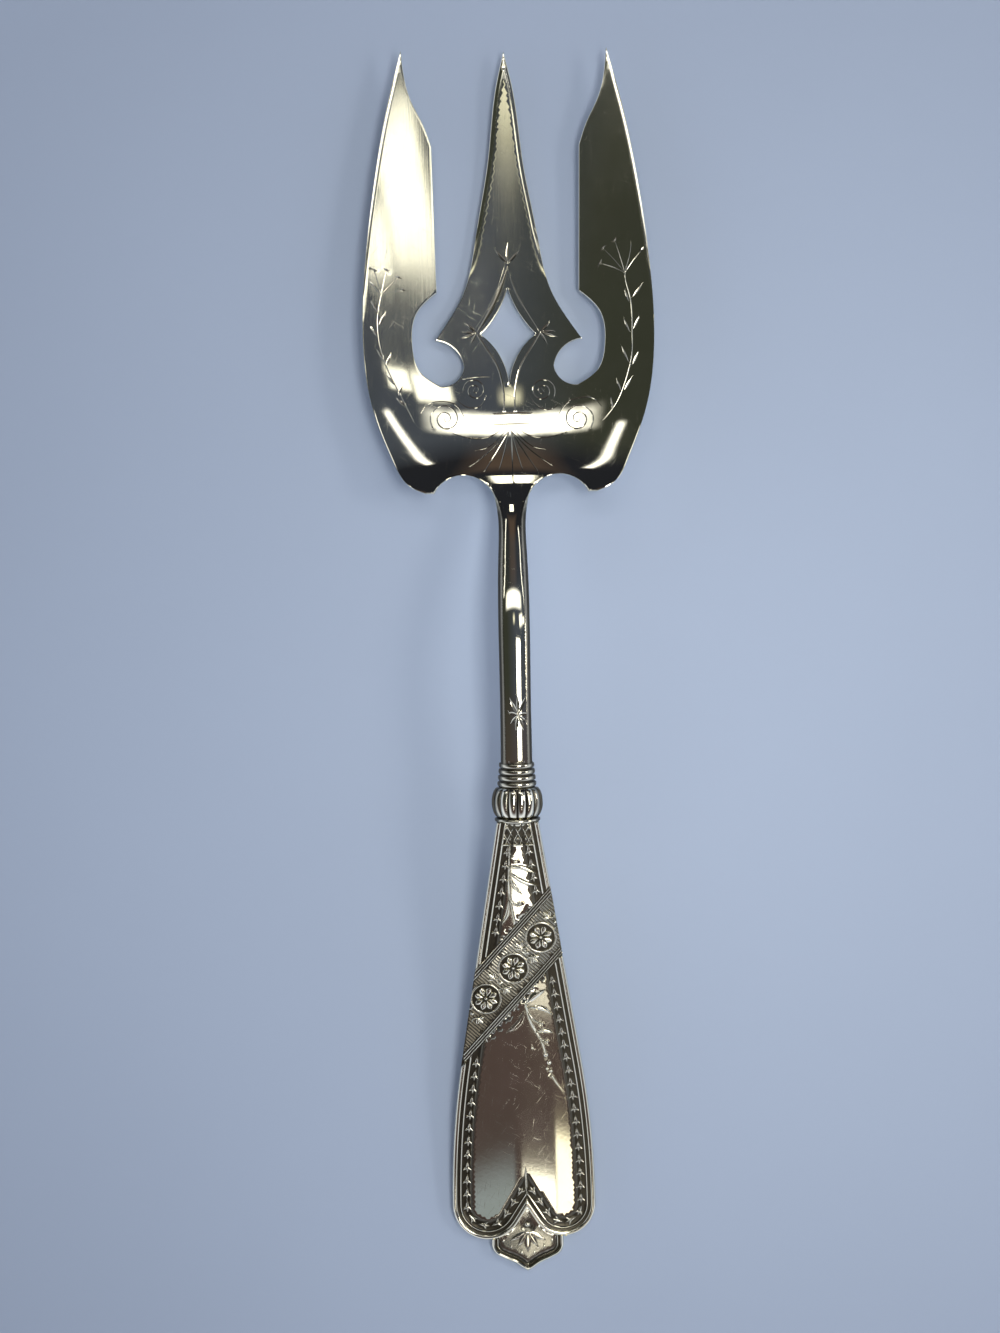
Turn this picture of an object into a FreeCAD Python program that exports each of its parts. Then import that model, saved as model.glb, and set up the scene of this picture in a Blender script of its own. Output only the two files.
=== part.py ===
"""Silver-plated fish serving fork, one piece, lying face up.

X runs across the fork, +Y towards the tines and +Z up. The origin is the middle of the
fork's length and width, on the surface it rests on. All sizes are in millimetres.
"""

import FreeCAD, Part
import math
import os

V = FreeCAD.Vector
doc = FreeCAD.newDocument("FishServingFork")

# Sizes, each with its name and what it measures
SIZES = [
    ("tine_length", 44.9, "outer tine from the round notch to its tip"),
    ("bowl_length", 40.0, "bowl from the neck to the round notches"),
    ("shaft_length", 47.6, "neck to the first ring of the collar"),
    ("collar_length", 11.0, "collar with its rings and knop"),
    ("handle_length", 85.1, "collar to the point of the palmette"),
    ("head_width", 54.1, "across the bowl at its widest"),
    ("tip_spread", 38.3, "between the points of the outer tines"),
    ("tine_width", 9.2, "straight part of an outer tine"),
    ("clip_length", 17.8, "clipped point of an outer tine"),
    ("barb_spread", 27.5, "between the two barbs of the middle tine"),
    ("barb_setback", 9.0, "from the notch corners back to the barbs"),
    ("notch_radius", 4.75, "round notch behind each outer tine"),
    ("diamond_width", 10.3, "across the pierced diamond"),
    ("diamond_length", 18.2, "along the pierced diamond"),
    ("diamond_front", 0.9, "its front point, ahead of the notch corners"),
    ("shoulder_spread", 28.5, "between the pointed shoulders of the bowl"),
    ("scallop_depth", 3.6, "scallop between shoulder and neck"),
    ("head_thickness", 1.7, "plate in the bowl"),
    ("tip_thickness", 0.95, "plate at the tips"),
    ("dish_rise", 5.8, "side of the bowl above its middle"),
    ("tip_rise", 1.9, "tips above the bottom of the bowl"),
    ("arch_rise", 17.0, "top of the shaft above the table"),
    ("neck_rise", 8.9, "top of the plate at the neck"),
    ("neck_width", 5.3, "shaft behind the bowl"),
    ("shaft_width", 5.8, "shaft at the collar"),
    ("shaft_thickness", 4.2, "shaft at the collar"),
    ("ring_width", 6.5, "first ring of the collar, across"),
    ("ring_step", 1.15, "from one ring to the next"),
    ("knop_width", 9.5, "across the knop"),
    ("knop_flatness", 0.76, "height of the collar as a share of its width"),
    ("knop_lobes", 16, "lobes round the knop"),
    ("collar_rise", 14.9, "top of the handle at the collar"),
    ("handle_top_width", 7.7, "handle at the collar"),
    ("handle_width", 26.8, "handle at its widest"),
    ("handle_foot_height", 12.6, "widest place above the palmette's point"),
    ("lobe_radius", 6.3, "round lobes at the foot of the handle"),
    ("side_radius", 170.0, "long curve of the handle's side"),
    ("cusp_height", 12.0, "notch between the lobes above the point"),
    ("foot_shift", 0.55, "palmette to the side of the centre line"),
    ("crown_radius", 125.0, "crown across the handle's face"),
    ("bend_radius", 470.0, "bend of the handle's face, seen from the side"),
    ("back_radius", 560.0, "bend of its back"),
    ("end_rise", 1.75, "handle's face at the palmette, above the table"),
    ("handle_root_thickness", 4.9, "handle at the collar"),
    ("handle_end_thickness", 1.9, "handle at the palmette"),
    ("moulding_width", 0.94, "outer rim moulding"),
    ("line_inset", 1.4, "thin inner line, from the edge"),
    ("line_width", 0.4, "thin inner line"),
    ("channel_width", 1.6, "sunk channel inside the thin line"),
    ("moulding_height", 0.5, "outer rim moulding above the ground"),
    ("line_height", 0.36, "thin line above the ground"),
    ("panel_height", 0.28, "plain panel above the ground"),
    ("dart_pitch", 2.45, "from one dart to the next"),
    ("dart_length", 1.5, "one dart"),
    ("dart_width", 1.1, "one dart"),
    ("dart_height", 0.3, "darts above the ground"),
    ("band_angle", 47.9, "slope of the band across the handle, degrees"),
    ("band_centre", 57.8, "middle medallion above the point"),
    ("band_offset", -1.25, "middle medallion beside the centre line"),
    ("band_half_width", 3.95, "carved strip on each side of its middle"),
    ("band_height", 0.14, "carved strip above the ground"),
    ("reed_pitch", 0.37, "from one reed to the next"),
    ("reed_width", 0.22, "one reed"),
    ("reed_height", 0.5, "reeds above the ground"),
    ("medallion_pitch", 7.7, "from one medallion to the next"),
    ("medallion_radius", 2.9, "outside of a medallion's ring"),
    ("medallion_ring", 0.32, "width of the ring"),
    ("petal_reach", 2.1, "petal tips from the middle"),
    ("petal_width", 1.05, "one petal"),
    ("petal_height", 0.42, "petals above the ground"),
    ("leaf_height", 0.5, "sprigs above the ground"),
    ("lattice_length", 4.0, "lattice panel below the collar"),
    ("palmette_reach", 6.75, "half width of the palmette"),
    ("palmette_corner", 1.65, "its rounded corners"),
    ("palmette_slope", 28.0, "its lower edges, degrees"),
]
sheet = doc.addObject("Spreadsheet::Sheet", "Sizes")
for row, (alias, value, note) in enumerate(SIZES, start=1):
    sheet.set("A%d" % row, alias)
    sheet.set("B%d" % row, str(value))
    sheet.set("C%d" % row, note)
    sheet.setAlias("B%d" % row, alias)
doc.recompute()


def size(alias):
    """Value of one cell of the sheet."""
    return float(sheet.get(alias))


# Lengths along the fork, measured from the palmette's point
COLLAR_FOOT = size("handle_length")
COLLAR_HEAD = COLLAR_FOOT + size("collar_length")
NECK = COLLAR_HEAD + size("shaft_length")
NOTCH = NECK + size("bowl_length")
TIP = NOTCH + size("tine_length")
HALF = TIP / 2


def place(x, u, z=0.0):
    """Point x beside the centre line and u along the fork from the palmette's point."""
    return V(x, u - HALF, z)


def along(stations, u):
    """Smooth curve through the stations, which are pairs of place and value."""
    us = [p[0] for p in stations]
    zs = [p[1] for p in stations]
    last = len(us) - 1
    u = min(max(u, us[0]), us[last])
    i = max(k for k in range(last) if us[k] <= u)

    def slope(k):
        a, b = max(k - 1, 0), min(k + 1, last)
        return (zs[b] - zs[a]) / (us[b] - us[a])

    step = us[i + 1] - us[i]
    t = (u - us[i]) / step
    rise = zs[i + 1] - zs[i]
    bend_in = slope(i) * step - rise
    bend_out = rise - slope(i + 1) * step
    return zs[i] + t * rise + t * (1 - t) * ((1 - t) * bend_in + t * bend_out)


# Side profile: the middle of the upper face from the bowl to the tips
FLOOR = size("head_thickness") - 0.2
BOWL = [
    (NECK - 4, size("neck_rise") + 2.0),
    (NECK, size("neck_rise")),
    (NECK + 0.10 * size("bowl_length"), size("neck_rise") - 2.9),
    (NECK + 0.22 * size("bowl_length"), FLOOR + 2.3),
    (NECK + 0.38 * size("bowl_length"), FLOOR + 0.75),
    (NECK + 0.72 * size("bowl_length"), FLOOR),
    (NOTCH + 0.15 * size("tine_length"), FLOOR + 0.15 * size("tip_rise")),
    (NOTCH + 0.55 * size("tine_length"), FLOOR + 0.48 * size("tip_rise")),
    (TIP, FLOOR + size("tip_rise")),
]
# How far the plate has risen at the side of the bowl
DISH = [
    (NECK - 4, 0.50 * size("dish_rise")),
    (NECK + 0.10 * size("bowl_length"), 0.92 * size("dish_rise")),
    (NECK + 0.30 * size("bowl_length"), 1.06 * size("dish_rise")),
    (NECK + 0.65 * size("bowl_length"), size("dish_rise")),
    (NOTCH + 0.10 * size("tine_length"), 0.92 * size("dish_rise")),
    (NOTCH + 0.60 * size("tine_length"), 0.76 * size("dish_rise")),
    (TIP, 0.62 * size("dish_rise")),
]
PLATE = [
    (NECK - 4, size("head_thickness") + 0.3),
    (NECK + 0.3 * size("bowl_length"), size("head_thickness")),
    (NOTCH, size("head_thickness") - 0.1),
    (TIP, size("tip_thickness")),
]


def head_top(x, u):
    """Upper face of the head, hollow across."""
    side = 2 * abs(x) / size("head_width")
    return along(BOWL, u) + along(DISH, u) * side * side


def head_bottom(x, u):
    """Underside of the head."""
    return head_top(x, u) - along(PLATE, u)


# Crest of the shaft from the collar to the bowl, and its section
SHAFT = [
    (COLLAR_HEAD - 1.5, size("arch_rise") - 1.3),
    (COLLAR_HEAD + 0.12 * size("shaft_length"), size("arch_rise") - 0.5),
    (COLLAR_HEAD + 0.38 * size("shaft_length"), size("arch_rise")),
    (COLLAR_HEAD + 0.62 * size("shaft_length"), size("arch_rise") - 1.3),
    (COLLAR_HEAD + 0.80 * size("shaft_length"), size("arch_rise") - 3.8),
    (COLLAR_HEAD + 0.92 * size("shaft_length"), size("neck_rise") + 2.4),
    (NECK, size("neck_rise") + 0.35),
    (NECK + 3.2, along(BOWL, NECK + 3.2) + 0.15),
    (NECK + 7.0, along(BOWL, NECK + 7.0) - 0.35),
]
SHAFT_HALF = [
    (COLLAR_HEAD - 1.5, size("shaft_width") / 2),
    (COLLAR_HEAD + 0.25 * size("shaft_length"), size("shaft_width") / 2 - 0.08),
    (COLLAR_HEAD + 0.80 * size("shaft_length"), size("neck_width") / 2),
    (NECK, size("neck_width") / 2 + 0.3),
    (NECK + 3.2, size("neck_width") / 2 + 0.9),
    (NECK + 7.0, size("neck_width") / 2 + 0.4),
]
SHAFT_DEPTH = [
    (COLLAR_HEAD - 1.5, size("shaft_thickness")),
    (COLLAR_HEAD + 0.45 * size("shaft_length"), size("shaft_thickness") - 0.2),
    (NECK, 0.5 * size("shaft_thickness") + 0.9),
    (NECK + 7.0, size("head_thickness") - 0.1),
]


def slab(top, bottom, half, low, high, across, lengthwise):
    """Solid between two smooth faces given by their height at x and u, as wide as half."""
    us = [low + (high - low) * j / lengthwise for j in range(lengthwise + 1)]
    shares = [2 * i / across - 1 for i in range(across + 1)]
    faces, borders = [], []
    for height in (top, bottom):
        surface = Part.BSplineSurface()
        surface.interpolate([
            [place(k * half(u), u, height(k * half(u), u)) for u in us] for k in shares
        ])
        first, last, near, far = surface.bounds()
        ends = [surface.uIso(first), surface.uIso(last), surface.vIso(near), surface.vIso(far)]
        borders.append([end.toShape() for end in ends])
        faces.append(surface.toShape())
    faces += [Part.makeRuledSurface(a, b) for a, b in zip(*borders)]
    shell = Part.makeShell(faces)
    shell.sewShape()
    solid = Part.makeSolid(shell)
    if solid.Volume < 0:
        solid.reverse()
    return solid


def line(a, b):
    return Part.LineSegment(place(*a), place(*b)).toShape()


def arc(a, middle, b):
    return Part.Arc(place(*a), place(*middle), place(*b)).toShape()


def curve(points):
    spline = Part.BSplineCurve()
    spline.interpolate([place(*p) for p in points])
    return spline.toShape()


def mirrored(p):
    return (-p[0], p[1])


def plan(edges):
    """Flat face from edges that close in any order."""
    return Part.Face(Part.Wire(Part.__sortEdges__(edges)))


def prism(face, low=-2.0, high=30.0):
    """Upright solid over a flat face, taller than the fork."""
    lifted = face.copy()
    lifted.translate(V(0, 0, low))
    return lifted.extrude(V(0, 0, high - low))


def feature(name, shape):
    """Document object that holds a shape made here."""
    obj = doc.addObject("Part::Feature", name)
    obj.Shape = shape
    obj.Placement = FreeCAD.Placement()
    return obj


# Head, plan outline of the right half from the middle tine's tip round to the neck
REACH = size("head_width") / 2
POINT = (size("tip_spread") / 2, TIP)
INNER = REACH - size("tine_width") - 4.55
CLIP = TIP - size("clip_length")
CORNER = (INNER, NOTCH)
BARB = (size("barb_spread") / 2, NOTCH - size("barb_setback"))
R = size("notch_radius")
NOTCH_X = INNER - 0.1
NOTCH_FOOT = (NOTCH_X - 0.4, NOTCH - 17.6)
NOTCH_IN = (NOTCH_X - R, NOTCH - 13.9)
SHOULDER = (size("shoulder_spread") / 2, NECK + 1.9)
ROOT = (size("neck_width") / 2 + 0.35, NECK + 0.3)


def widening(share):
    return POINT[0] + (REACH - POINT[0]) * share


def head_side(turn):
    """Edges of one half of the head's outline, turned over for the left half."""
    middle_tine = curve(
        [
            turn((0.0, TIP)),
            turn((1.6, TIP - 0.15 * size("tine_length"))),
            turn((3.3, TIP - 0.45 * size("tine_length"))),
            turn((5.7, TIP - 0.75 * size("tine_length"))),
            turn((8.4, NOTCH - 0.3)),
            turn((10.7, NOTCH - 0.5 * size("barb_setback"))),
            turn(BARB),
        ]
    )
    barb = arc(turn(BARB), turn((BARB[0] - 3.3, BARB[1] - 1.3)), turn(NOTCH_IN))
    notch_back = arc(
        turn(NOTCH_IN), turn((NOTCH_X - 3.4, NOTCH - 16.5)), turn(NOTCH_FOOT)
    )
    notch_side = curve(
        [
            turn(NOTCH_FOOT),
            turn((NOTCH_X + 3.4, NOTCH - 14.9)),
            turn((NOTCH_X + R, NOTCH - 10.2)),
            turn((NOTCH_X + 3.9, NOTCH - 4.0)),
            turn(CORNER),
        ]
    )
    straight = line(turn(CORNER), turn((INNER + 0.5, CLIP)))
    clip = curve(
        [
            turn((INNER + 0.5, CLIP)),
            turn((INNER + 2.1, CLIP + 0.25 * size("clip_length"))),
            turn((INNER + 3.9, CLIP + 0.45 * size("clip_length"))),
            turn(POINT),
        ]
    )
    outside = curve(
        [
            turn(POINT),
            turn((widening(0.30), TIP - 0.2 * size("tine_length"))),
            turn((widening(0.72), TIP - 0.6 * size("tine_length"))),
            turn((widening(0.97), NOTCH)),
            turn((REACH, NECK + 0.78 * size("bowl_length"))),
            turn((REACH - 1.7, NECK + 0.44 * size("bowl_length"))),
            turn((REACH - 5.1, NECK + 0.21 * size("bowl_length"))),
            turn((REACH - 8.4, NECK + 0.08 * size("bowl_length"))),
            turn((SHOULDER[0] + 1.6, SHOULDER[1])),
        ]
    )
    tip = line(turn((SHOULDER[0] + 1.6, SHOULDER[1])), turn(SHOULDER))
    crest = (SHOULDER[0] - 5.2, SHOULDER[1] + size("scallop_depth"))
    scallop = arc(turn(SHOULDER), turn((SHOULDER[0] - 2.0, SHOULDER[1] + 2.5)), turn(crest))
    sweep = arc(turn(crest), turn((ROOT[0] + 1.9, ROOT[1] + 3.6)), turn(ROOT))
    return [
        middle_tine, barb, notch_back, notch_side, straight, clip, outside, tip,
        scallop, sweep,
    ]


right = head_side(lambda p: p)
left = head_side(mirrored)
tail = (ROOT[0] - 0.5, NECK - 3.0)
back = [
    line(ROOT, tail),
    line(tail, mirrored(tail)),
    line(mirrored(tail), mirrored(ROOT)),
]
head_face = plan(right + left + back)

# Pierced diamond with hollow sides
front = (0.0, NOTCH + size("diamond_front"))
rear = (0.0, front[1] - size("diamond_length"))
side = (size("diamond_width") / 2, front[1] - 0.48 * size("diamond_length"))
ahead = (0.42 * side[0], front[1] - 0.27 * size("diamond_length"))
behind = (0.40 * side[0], front[1] - 0.66 * size("diamond_length"))
diamond_face = plan(
    [
        arc(front, ahead, side),
        arc(side, behind, rear),
        arc(rear, mirrored(behind), mirrored(side)),
        arc(mirrored(side), mirrored(ahead), front),
    ]
)

head_blank = feature(
    "DishedPlate", slab(head_top, head_bottom, lambda u: REACH + 2, NECK - 4, TIP + 1, 4, 11)
)
head_plan = doc.addObject("Part::Extrusion", "HeadPlan")
head_plan.Base = feature("HeadOutline", head_face)
head_plan.DirMode = "Custom"
head_plan.Dir = V(0, 0, 1)
head_plan.Solid = True
head_plan.setExpression("LengthFwd", "Sizes.arch_rise + Sizes.dish_rise")
diamond = doc.addObject("Part::Extrusion", "Diamond")
diamond.Base = feature("DiamondOutline", diamond_face)
diamond.DirMode = "Custom"
diamond.Dir = V(0, 0, 1)
diamond.Solid = True
diamond.setExpression("LengthFwd", "Sizes.arch_rise")
doc.recompute()
head_cut = doc.addObject("Part::Common", "HeadCutOut")
head_cut.Base = head_blank
head_cut.Tool = head_plan
head_cut.Refine = False
head = doc.addObject("Part::Cut", "Head")
head.Base = head_cut
head.Tool = diamond
head.Refine = False
doc.recompute()


# Shaft, crowned above and below
def shaft_half(u):
    return along(SHAFT_HALF, u)


def shaft_top(x, u):
    side = x / shaft_half(u)
    return along(SHAFT, u) - 0.17 * along(SHAFT_DEPTH, u) * side * side


def shaft_bottom(x, u):
    side = x / shaft_half(u)
    depth = along(SHAFT_DEPTH, u)
    return along(SHAFT, u) - depth + 0.2 * depth * side * side


shaft = feature(
    "Shaft", slab(shaft_top, shaft_bottom, shaft_half, COLLAR_HEAD - 1, NECK + 7, 3, 7)
)

# Collar of flattened rings and a lobed knop, in a frame of its own along X
LIP = size("ring_width") / 2
STEP = size("ring_step")
KNOP = size("knop_width") / 2
FLAT = size("knop_flatness")
RING_END = 4 * STEP


def oval(a, radius):
    """Flattened round section at a along the collar, of short straight sides."""
    turns = [math.pi * k / 10 for k in range(21)]
    return Part.makePolygon(
        [V(a, radius * math.cos(w), radius * FLAT * math.sin(w)) for w in turns]
    )


def turned(stations):
    """Solid through oval sections given by place and radius."""
    return Part.makeLoft([oval(a, r) for a, r in stations], True, True)


def ring(start, radius, thick):
    """Raised ring that stands on the collar's core."""
    return turned([(start, radius - 0.3), (start + thick / 2, radius), (start + thick, radius - 0.3)])


def lobed(a, radius, depth):
    """Closed scalloped section of the knop at a along it, three short sides to a lobe."""
    count = int(size("knop_lobes"))
    points = []
    for k in range(count):
        for t, r in ((-0.5, radius - depth), (-0.2, radius), (0.2, radius)):
            w = 2 * math.pi * (k + t) / count
            points.append(V(a, r * math.cos(w), r * FLAT * math.sin(w)))
    return Part.makePolygon(points + points[:1])


pieces = [turned([(0, LIP - 0.3), (size("collar_length"), LIP + 0.1)])]
for k in range(4):
    pieces.append(ring(0.1 + k * STEP, LIP + 0.11 * k, 0.8 * STEP))
foot_ring = size("collar_length") - 0.75
pieces.append(ring(foot_ring, size("handle_top_width") / 2 + 0.3, 0.75))
knop_length = foot_ring - RING_END
swells = [(0.0, LIP + 0.15, 0.12), (0.2, KNOP - 0.36, 0.3), (0.5, KNOP, 0.4)]
swells += [(0.8, KNOP - 0.4, 0.3), (1.0, LIP + 0.25, 0.12)]
wires = [lobed(RING_END - 0.05 + t * (knop_length + 0.1), r, d) for t, r, d in swells]
pieces.append(Part.makeLoft(wires, True, True))
head_end = along(SHAFT, COLLAR_HEAD) - size("shaft_thickness") / 2
foot_end = size("collar_rise") - size("handle_root_thickness") / 2
drop = math.degrees(math.atan2(head_end - foot_end, size("collar_length")))
collar = feature("Collar", pieces[0].multiFuse(pieces[1:]))
collar.Placement = FreeCAD.Placement(
    place(0, COLLAR_HEAD, head_end),
    FreeCAD.Rotation(V(0, 0, 1), -90) * FreeCAD.Rotation(V(0, 1, 0), drop),
)

# Handle outline, lines and arcs that touch, drawn any distance in from the edge
WIDE = size("handle_width") / 2
FOOT = size("handle_foot_height")
LOBE = size("lobe_radius")
LONG = size("side_radius")
CUSP = (size("foot_shift"), size("cusp_height"))


def tangent(point, centre, radius, turn):
    """Where a line from a point touches a circle, on the side given by turn."""
    dx, du = centre[0] - point[0], centre[1] - point[1]
    far = math.hypot(dx, du)
    swing = turn * math.asin(radius / far)
    reach = math.sqrt(far * far - radius * radius)
    heading = math.atan2(du, dx) + swing
    return (point[0] + reach * math.cos(heading), point[1] + reach * math.sin(heading))


def on_circle(centre, radius, angle):
    return (centre[0] + radius * math.cos(angle), centre[1] + radius * math.sin(angle))


def lobe(s):
    """Centre and radius of a lobe, larger on the side the palmette leans away from."""
    radius = LOBE * (WIDE - s * CUSP[0]) / WIDE
    return (s * (WIDE - radius), FOOT), radius


def to_cusp(s, inset):
    """Where the lobe ends, its angle there and the heading of the line to the cusp."""
    centre, radius = lobe(s)
    leave = tangent(CUSP, centre, radius, -s)
    aim = math.atan2(leave[1] - centre[1], leave[0] - centre[0])
    heading = (CUSP[0] - leave[0], CUSP[1] - leave[1])
    return on_circle(centre, radius - inset, aim), aim, heading


def apex(inset):
    """Where the two lines to the cusp meet."""
    (x1, u1), _, (a1, b1) = to_cusp(1, inset)
    (x2, u2), _, (a2, b2) = to_cusp(-1, inset)
    t = ((x2 - x1) * b2 - (u2 - u1) * a2) / (a1 * b2 - b1 * a2)
    return (x1 + t * a1, u1 + t * b1)


def shield_side(s, inset):
    """Edges of one side of the shield, s = 1 right or -1 left, and its top corner."""
    top = (s * size("handle_top_width") / 2, COLLAR_FOOT)
    long_centre = (s * (WIDE - LONG), FOOT)
    touch = tangent(top, long_centre, LONG, s)
    lean = math.atan2(touch[1] - FOOT, s * (touch[0] - long_centre[0]))
    low = on_circle(long_centre, LONG - inset, lean if s > 0 else math.pi - lean)
    slope = (top[0] - touch[0]) / (top[1] - touch[1])
    high = (low[0] + slope * (COLLAR_FOOT - low[1]), COLLAR_FOOT)
    wide = (s * (WIDE - inset), FOOT)
    bow = on_circle(long_centre, LONG - inset, lean / 2 if s > 0 else math.pi - lean / 2)
    centre, radius = lobe(s)
    end, aim, _ = to_cusp(s, inset)
    sweep = aim if s > 0 else -math.pi - aim
    base = on_circle(centre, radius - inset, sweep / 2 if s > 0 else math.pi - sweep / 2)
    edges = [
        line(high, low), arc(low, bow, wide), arc(wide, base, end), line(end, apex(inset)),
    ]
    return edges, high


def shield(inset):
    """Flat face of the shield-shaped field, the given distance in from the edge."""
    right_edges, right_top = shield_side(1, inset)
    left_edges, left_top = shield_side(-1, inset)
    return plan(right_edges + left_edges + [line(left_top, right_top)])


def palmette(inset):
    """Flat face of the terminal, running up under the lobes to the cusp."""
    slope = math.radians(size("palmette_slope"))
    corner = size("palmette_corner")
    mid = CUSP[0]
    tip_point = (mid, inset / math.cos(slope))
    run = size("palmette_reach") - corner
    rise = run * math.tan(slope) + corner / math.cos(slope)
    sides = []
    for s in (1, -1):
        centre = (mid + s * run, rise)
        touch = (centre[0] + s * (corner - inset) * math.sin(slope),
                 rise - (corner - inset) * math.cos(slope))
        wide = (centre[0] + s * (corner - inset), rise)
        turn = (slope - math.pi / 2) / 2
        bulge = on_circle(centre, corner - inset, turn if s > 0 else math.pi - turn)
        lobe_centre, lobe_radius = lobe(s)
        upper = (wide[0], FOOT - lobe_radius + 0.6)
        inner = (lobe_centre[0], FOOT - lobe_radius + 1.0)
        sides += [
            line(tip_point, touch), arc(touch, bulge, wide), line(wide, upper),
            line(upper, inner), line(inner, CUSP),
        ]
    return plan(sides)


def bend_centre(low, high, radius):
    """Centre above the handle of a circle through two points of its side view."""
    (u1, z1), (u2, z2) = low, high
    du, dz = u2 - u1, z2 - z1
    chord = math.hypot(du, dz)
    rise = math.sqrt(radius * radius - chord * chord / 4)
    return ((u1 + u2) / 2 - dz / chord * rise, (z1 + z2) / 2 + du / chord * rise)


# Face and back of the handle, two long bends that come closer towards the palmette
FACE_LOW = (0.0, size("end_rise"))
FACE_HIGH = (COLLAR_FOOT, size("collar_rise"))
BACK_LOW = (0.0, size("end_rise") - size("handle_end_thickness"))
BACK_HIGH = (COLLAR_FOOT, size("collar_rise") - size("handle_root_thickness"))
BEND = bend_centre(FACE_LOW, FACE_HIGH, size("bend_radius"))
BACK = bend_centre(BACK_LOW, BACK_HIGH, size("back_radius"))
SIDE = WIDE + 2


def crowned(height, depth):
    """Solid under the crowned face at a height above the ground, bent along the handle."""
    crown = size("crown_radius")
    edge = math.sqrt((crown + height) ** 2 - SIDE * SIDE) - crown
    base = BEND[1] - size("bend_radius")
    a, b = place(-SIDE, BEND[0], base + edge), place(SIDE, BEND[0], base + edge)
    c, d = place(SIDE, BEND[0], base - depth), place(-SIDE, BEND[0], base - depth)
    face = Part.Face(Part.Wire([
        Part.Arc(a, place(0, BEND[0], base + height), b).toShape(),
        Part.makeLine(b, c), Part.makeLine(c, d), Part.makeLine(d, a),
    ]))
    first = math.degrees(math.asin((-1.5 - BEND[0]) / size("bend_radius")))
    last = math.degrees(math.asin((COLLAR_FOOT + 1.5 - BEND[0]) / size("bend_radius")))
    pivot = place(0, BEND[0], BEND[1])
    face.rotate(pivot, V(1, 0, 0), first)
    return face.revolve(pivot, V(1, 0, 0), last - first)


# Handle blank, cut to the outline
field = shield(0)
foot = palmette(0)
behind_face = Part.makeCylinder(
    size("back_radius"), 2 * SIDE, place(-SIDE, BACK[0], BACK[1]), V(1, 0, 0)
)
blank = crowned(0, 8).common(behind_face).common(prism(field.fuse(foot)))


def raised(faces, height, root=1.1):
    """Flat faces raised to a height above the ground, rooted at a depth of their own."""
    return crowned(height, root).common(Part.makeCompound([prism(f) for f in faces]))


def bar(a, b, width):
    """Flat face of a straight bar."""
    dx, du = b[0] - a[0], b[1] - a[1]
    far = math.hypot(dx, du)
    nx, nu = -du / far * width / 2, dx / far * width / 2
    c = [(a[0] + nx, a[1] + nu), (b[0] + nx, b[1] + nu)]
    c += [(b[0] - nx, b[1] - nu), (a[0] - nx, a[1] - nu)]
    return plan([line(c[i], c[(i + 1) % 4]) for i in range(4)])


def polygon(centre, heading, points):
    """Flat face through points given ahead of and beside a centre."""
    ca, sa = math.cos(heading), math.sin(heading)
    c = [(centre[0] + p * ca - q * sa, centre[1] + p * sa + q * ca) for p, q in points]
    return plan([line(c[i], c[(i + 1) % len(c)]) for i in range(len(c))])


def leaf(root, tip, width):
    """Flat face of a leaf or petal to its tip, from a little behind the root."""
    dx, du = tip[0] - root[0], tip[1] - root[1]
    far = math.hypot(dx, du)
    half = [(0.3 * far, 0.42 * width), (0.65 * far, 0.5 * width)]
    under = [(p, -q) for p, q in reversed(half)]
    heel = [(-0.2 * width, 0)]
    return polygon(root, math.atan2(du, dx), heel + under[::-1] + [(far, 0)] + half[::-1])


def disc(centre, radius, sides=8):
    """Flat face of a small round thing."""
    turns = [2 * math.pi * k / sides for k in range(sides)]
    return polygon(centre, 0.0, [(radius * math.cos(t), radius * math.sin(t)) for t in turns])


# Slanted band with its own axis along the medallions
BAND = (size("band_offset"), size("band_centre"))
TILT = math.radians(size("band_angle"))


def on_band(a, b):
    """Point a along the band and b across it, from the middle medallion."""
    return (BAND[0] + a * math.cos(TILT) - b * math.sin(TILT),
            BAND[1] + a * math.sin(TILT) + b * math.cos(TILT))


INNER_HALF = size("band_half_width")
OUTER_HALF = INNER_HALF + 3 * size("reed_pitch")
strip = bar(on_band(-25, 0), on_band(25, 0), 2 * OUTER_HALF)
middle_strip = bar(on_band(-25, 0), on_band(25, 0), 2 * INNER_HALF)

MOULDING = size("moulding_width")
LINE = size("line_inset")
CHANNEL = LINE + size("line_width")
PANEL = CHANNEL + size("channel_width")
LATTICE = COLLAR_FOOT - size("lattice_length")

# Rim moulding, thin line and plain panel, all broken by the band
moulding = field.cut(shield(MOULDING)).cut(strip)
thin_line = shield(LINE).cut(shield(CHANNEL)).cut(strip)
panel = shield(PANEL).common(bar((0, -5), (0, LATTICE - 0.9), 40)).cut(strip)

parts = [blank]
parts.append(raised([moulding], size("moulding_height")))
parts.append(raised([thin_line], size("line_height")))
parts.append(raised([panel], size("panel_height")))

# Carved strip, reeds and rosette medallions
parts.append(raised([middle_strip.common(field)], size("band_height")))
reeds = []
for s in (1, -1):
    for k in range(3):
        b = s * (INNER_HALF + (k + 0.5) * size("reed_pitch"))
        reeds.append(bar(on_band(-25, b), on_band(25, b), size("reed_width")))
reeds = [r.common(field) for r in reeds]
parts.append(raised(reeds, size("reed_height")))
rings, petals, bosses = [], [], []
for k in (-1, 0, 1):
    centre = on_band(k * size("medallion_pitch"), 0)
    outer = disc(centre, size("medallion_radius"), 24)
    inner = disc(centre, size("medallion_radius") - size("medallion_ring"), 24)
    rings.append(outer.cut(inner).common(field))
    bosses.append(disc(centre, 0.42))
    for j in range(8):
        w = TILT + (j + 0.5) * math.pi / 4
        root = on_circle(centre, 0.25, w)
        petal_tip = on_circle(centre, size("petal_reach"), w)
        petals.append(leaf(root, petal_tip, 0.62 * size("petal_width")))
parts.append(raised(rings, size("reed_height") - 0.06, 0.75))
parts.append(raised(petals, size("petal_height"), 0.65))
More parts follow.
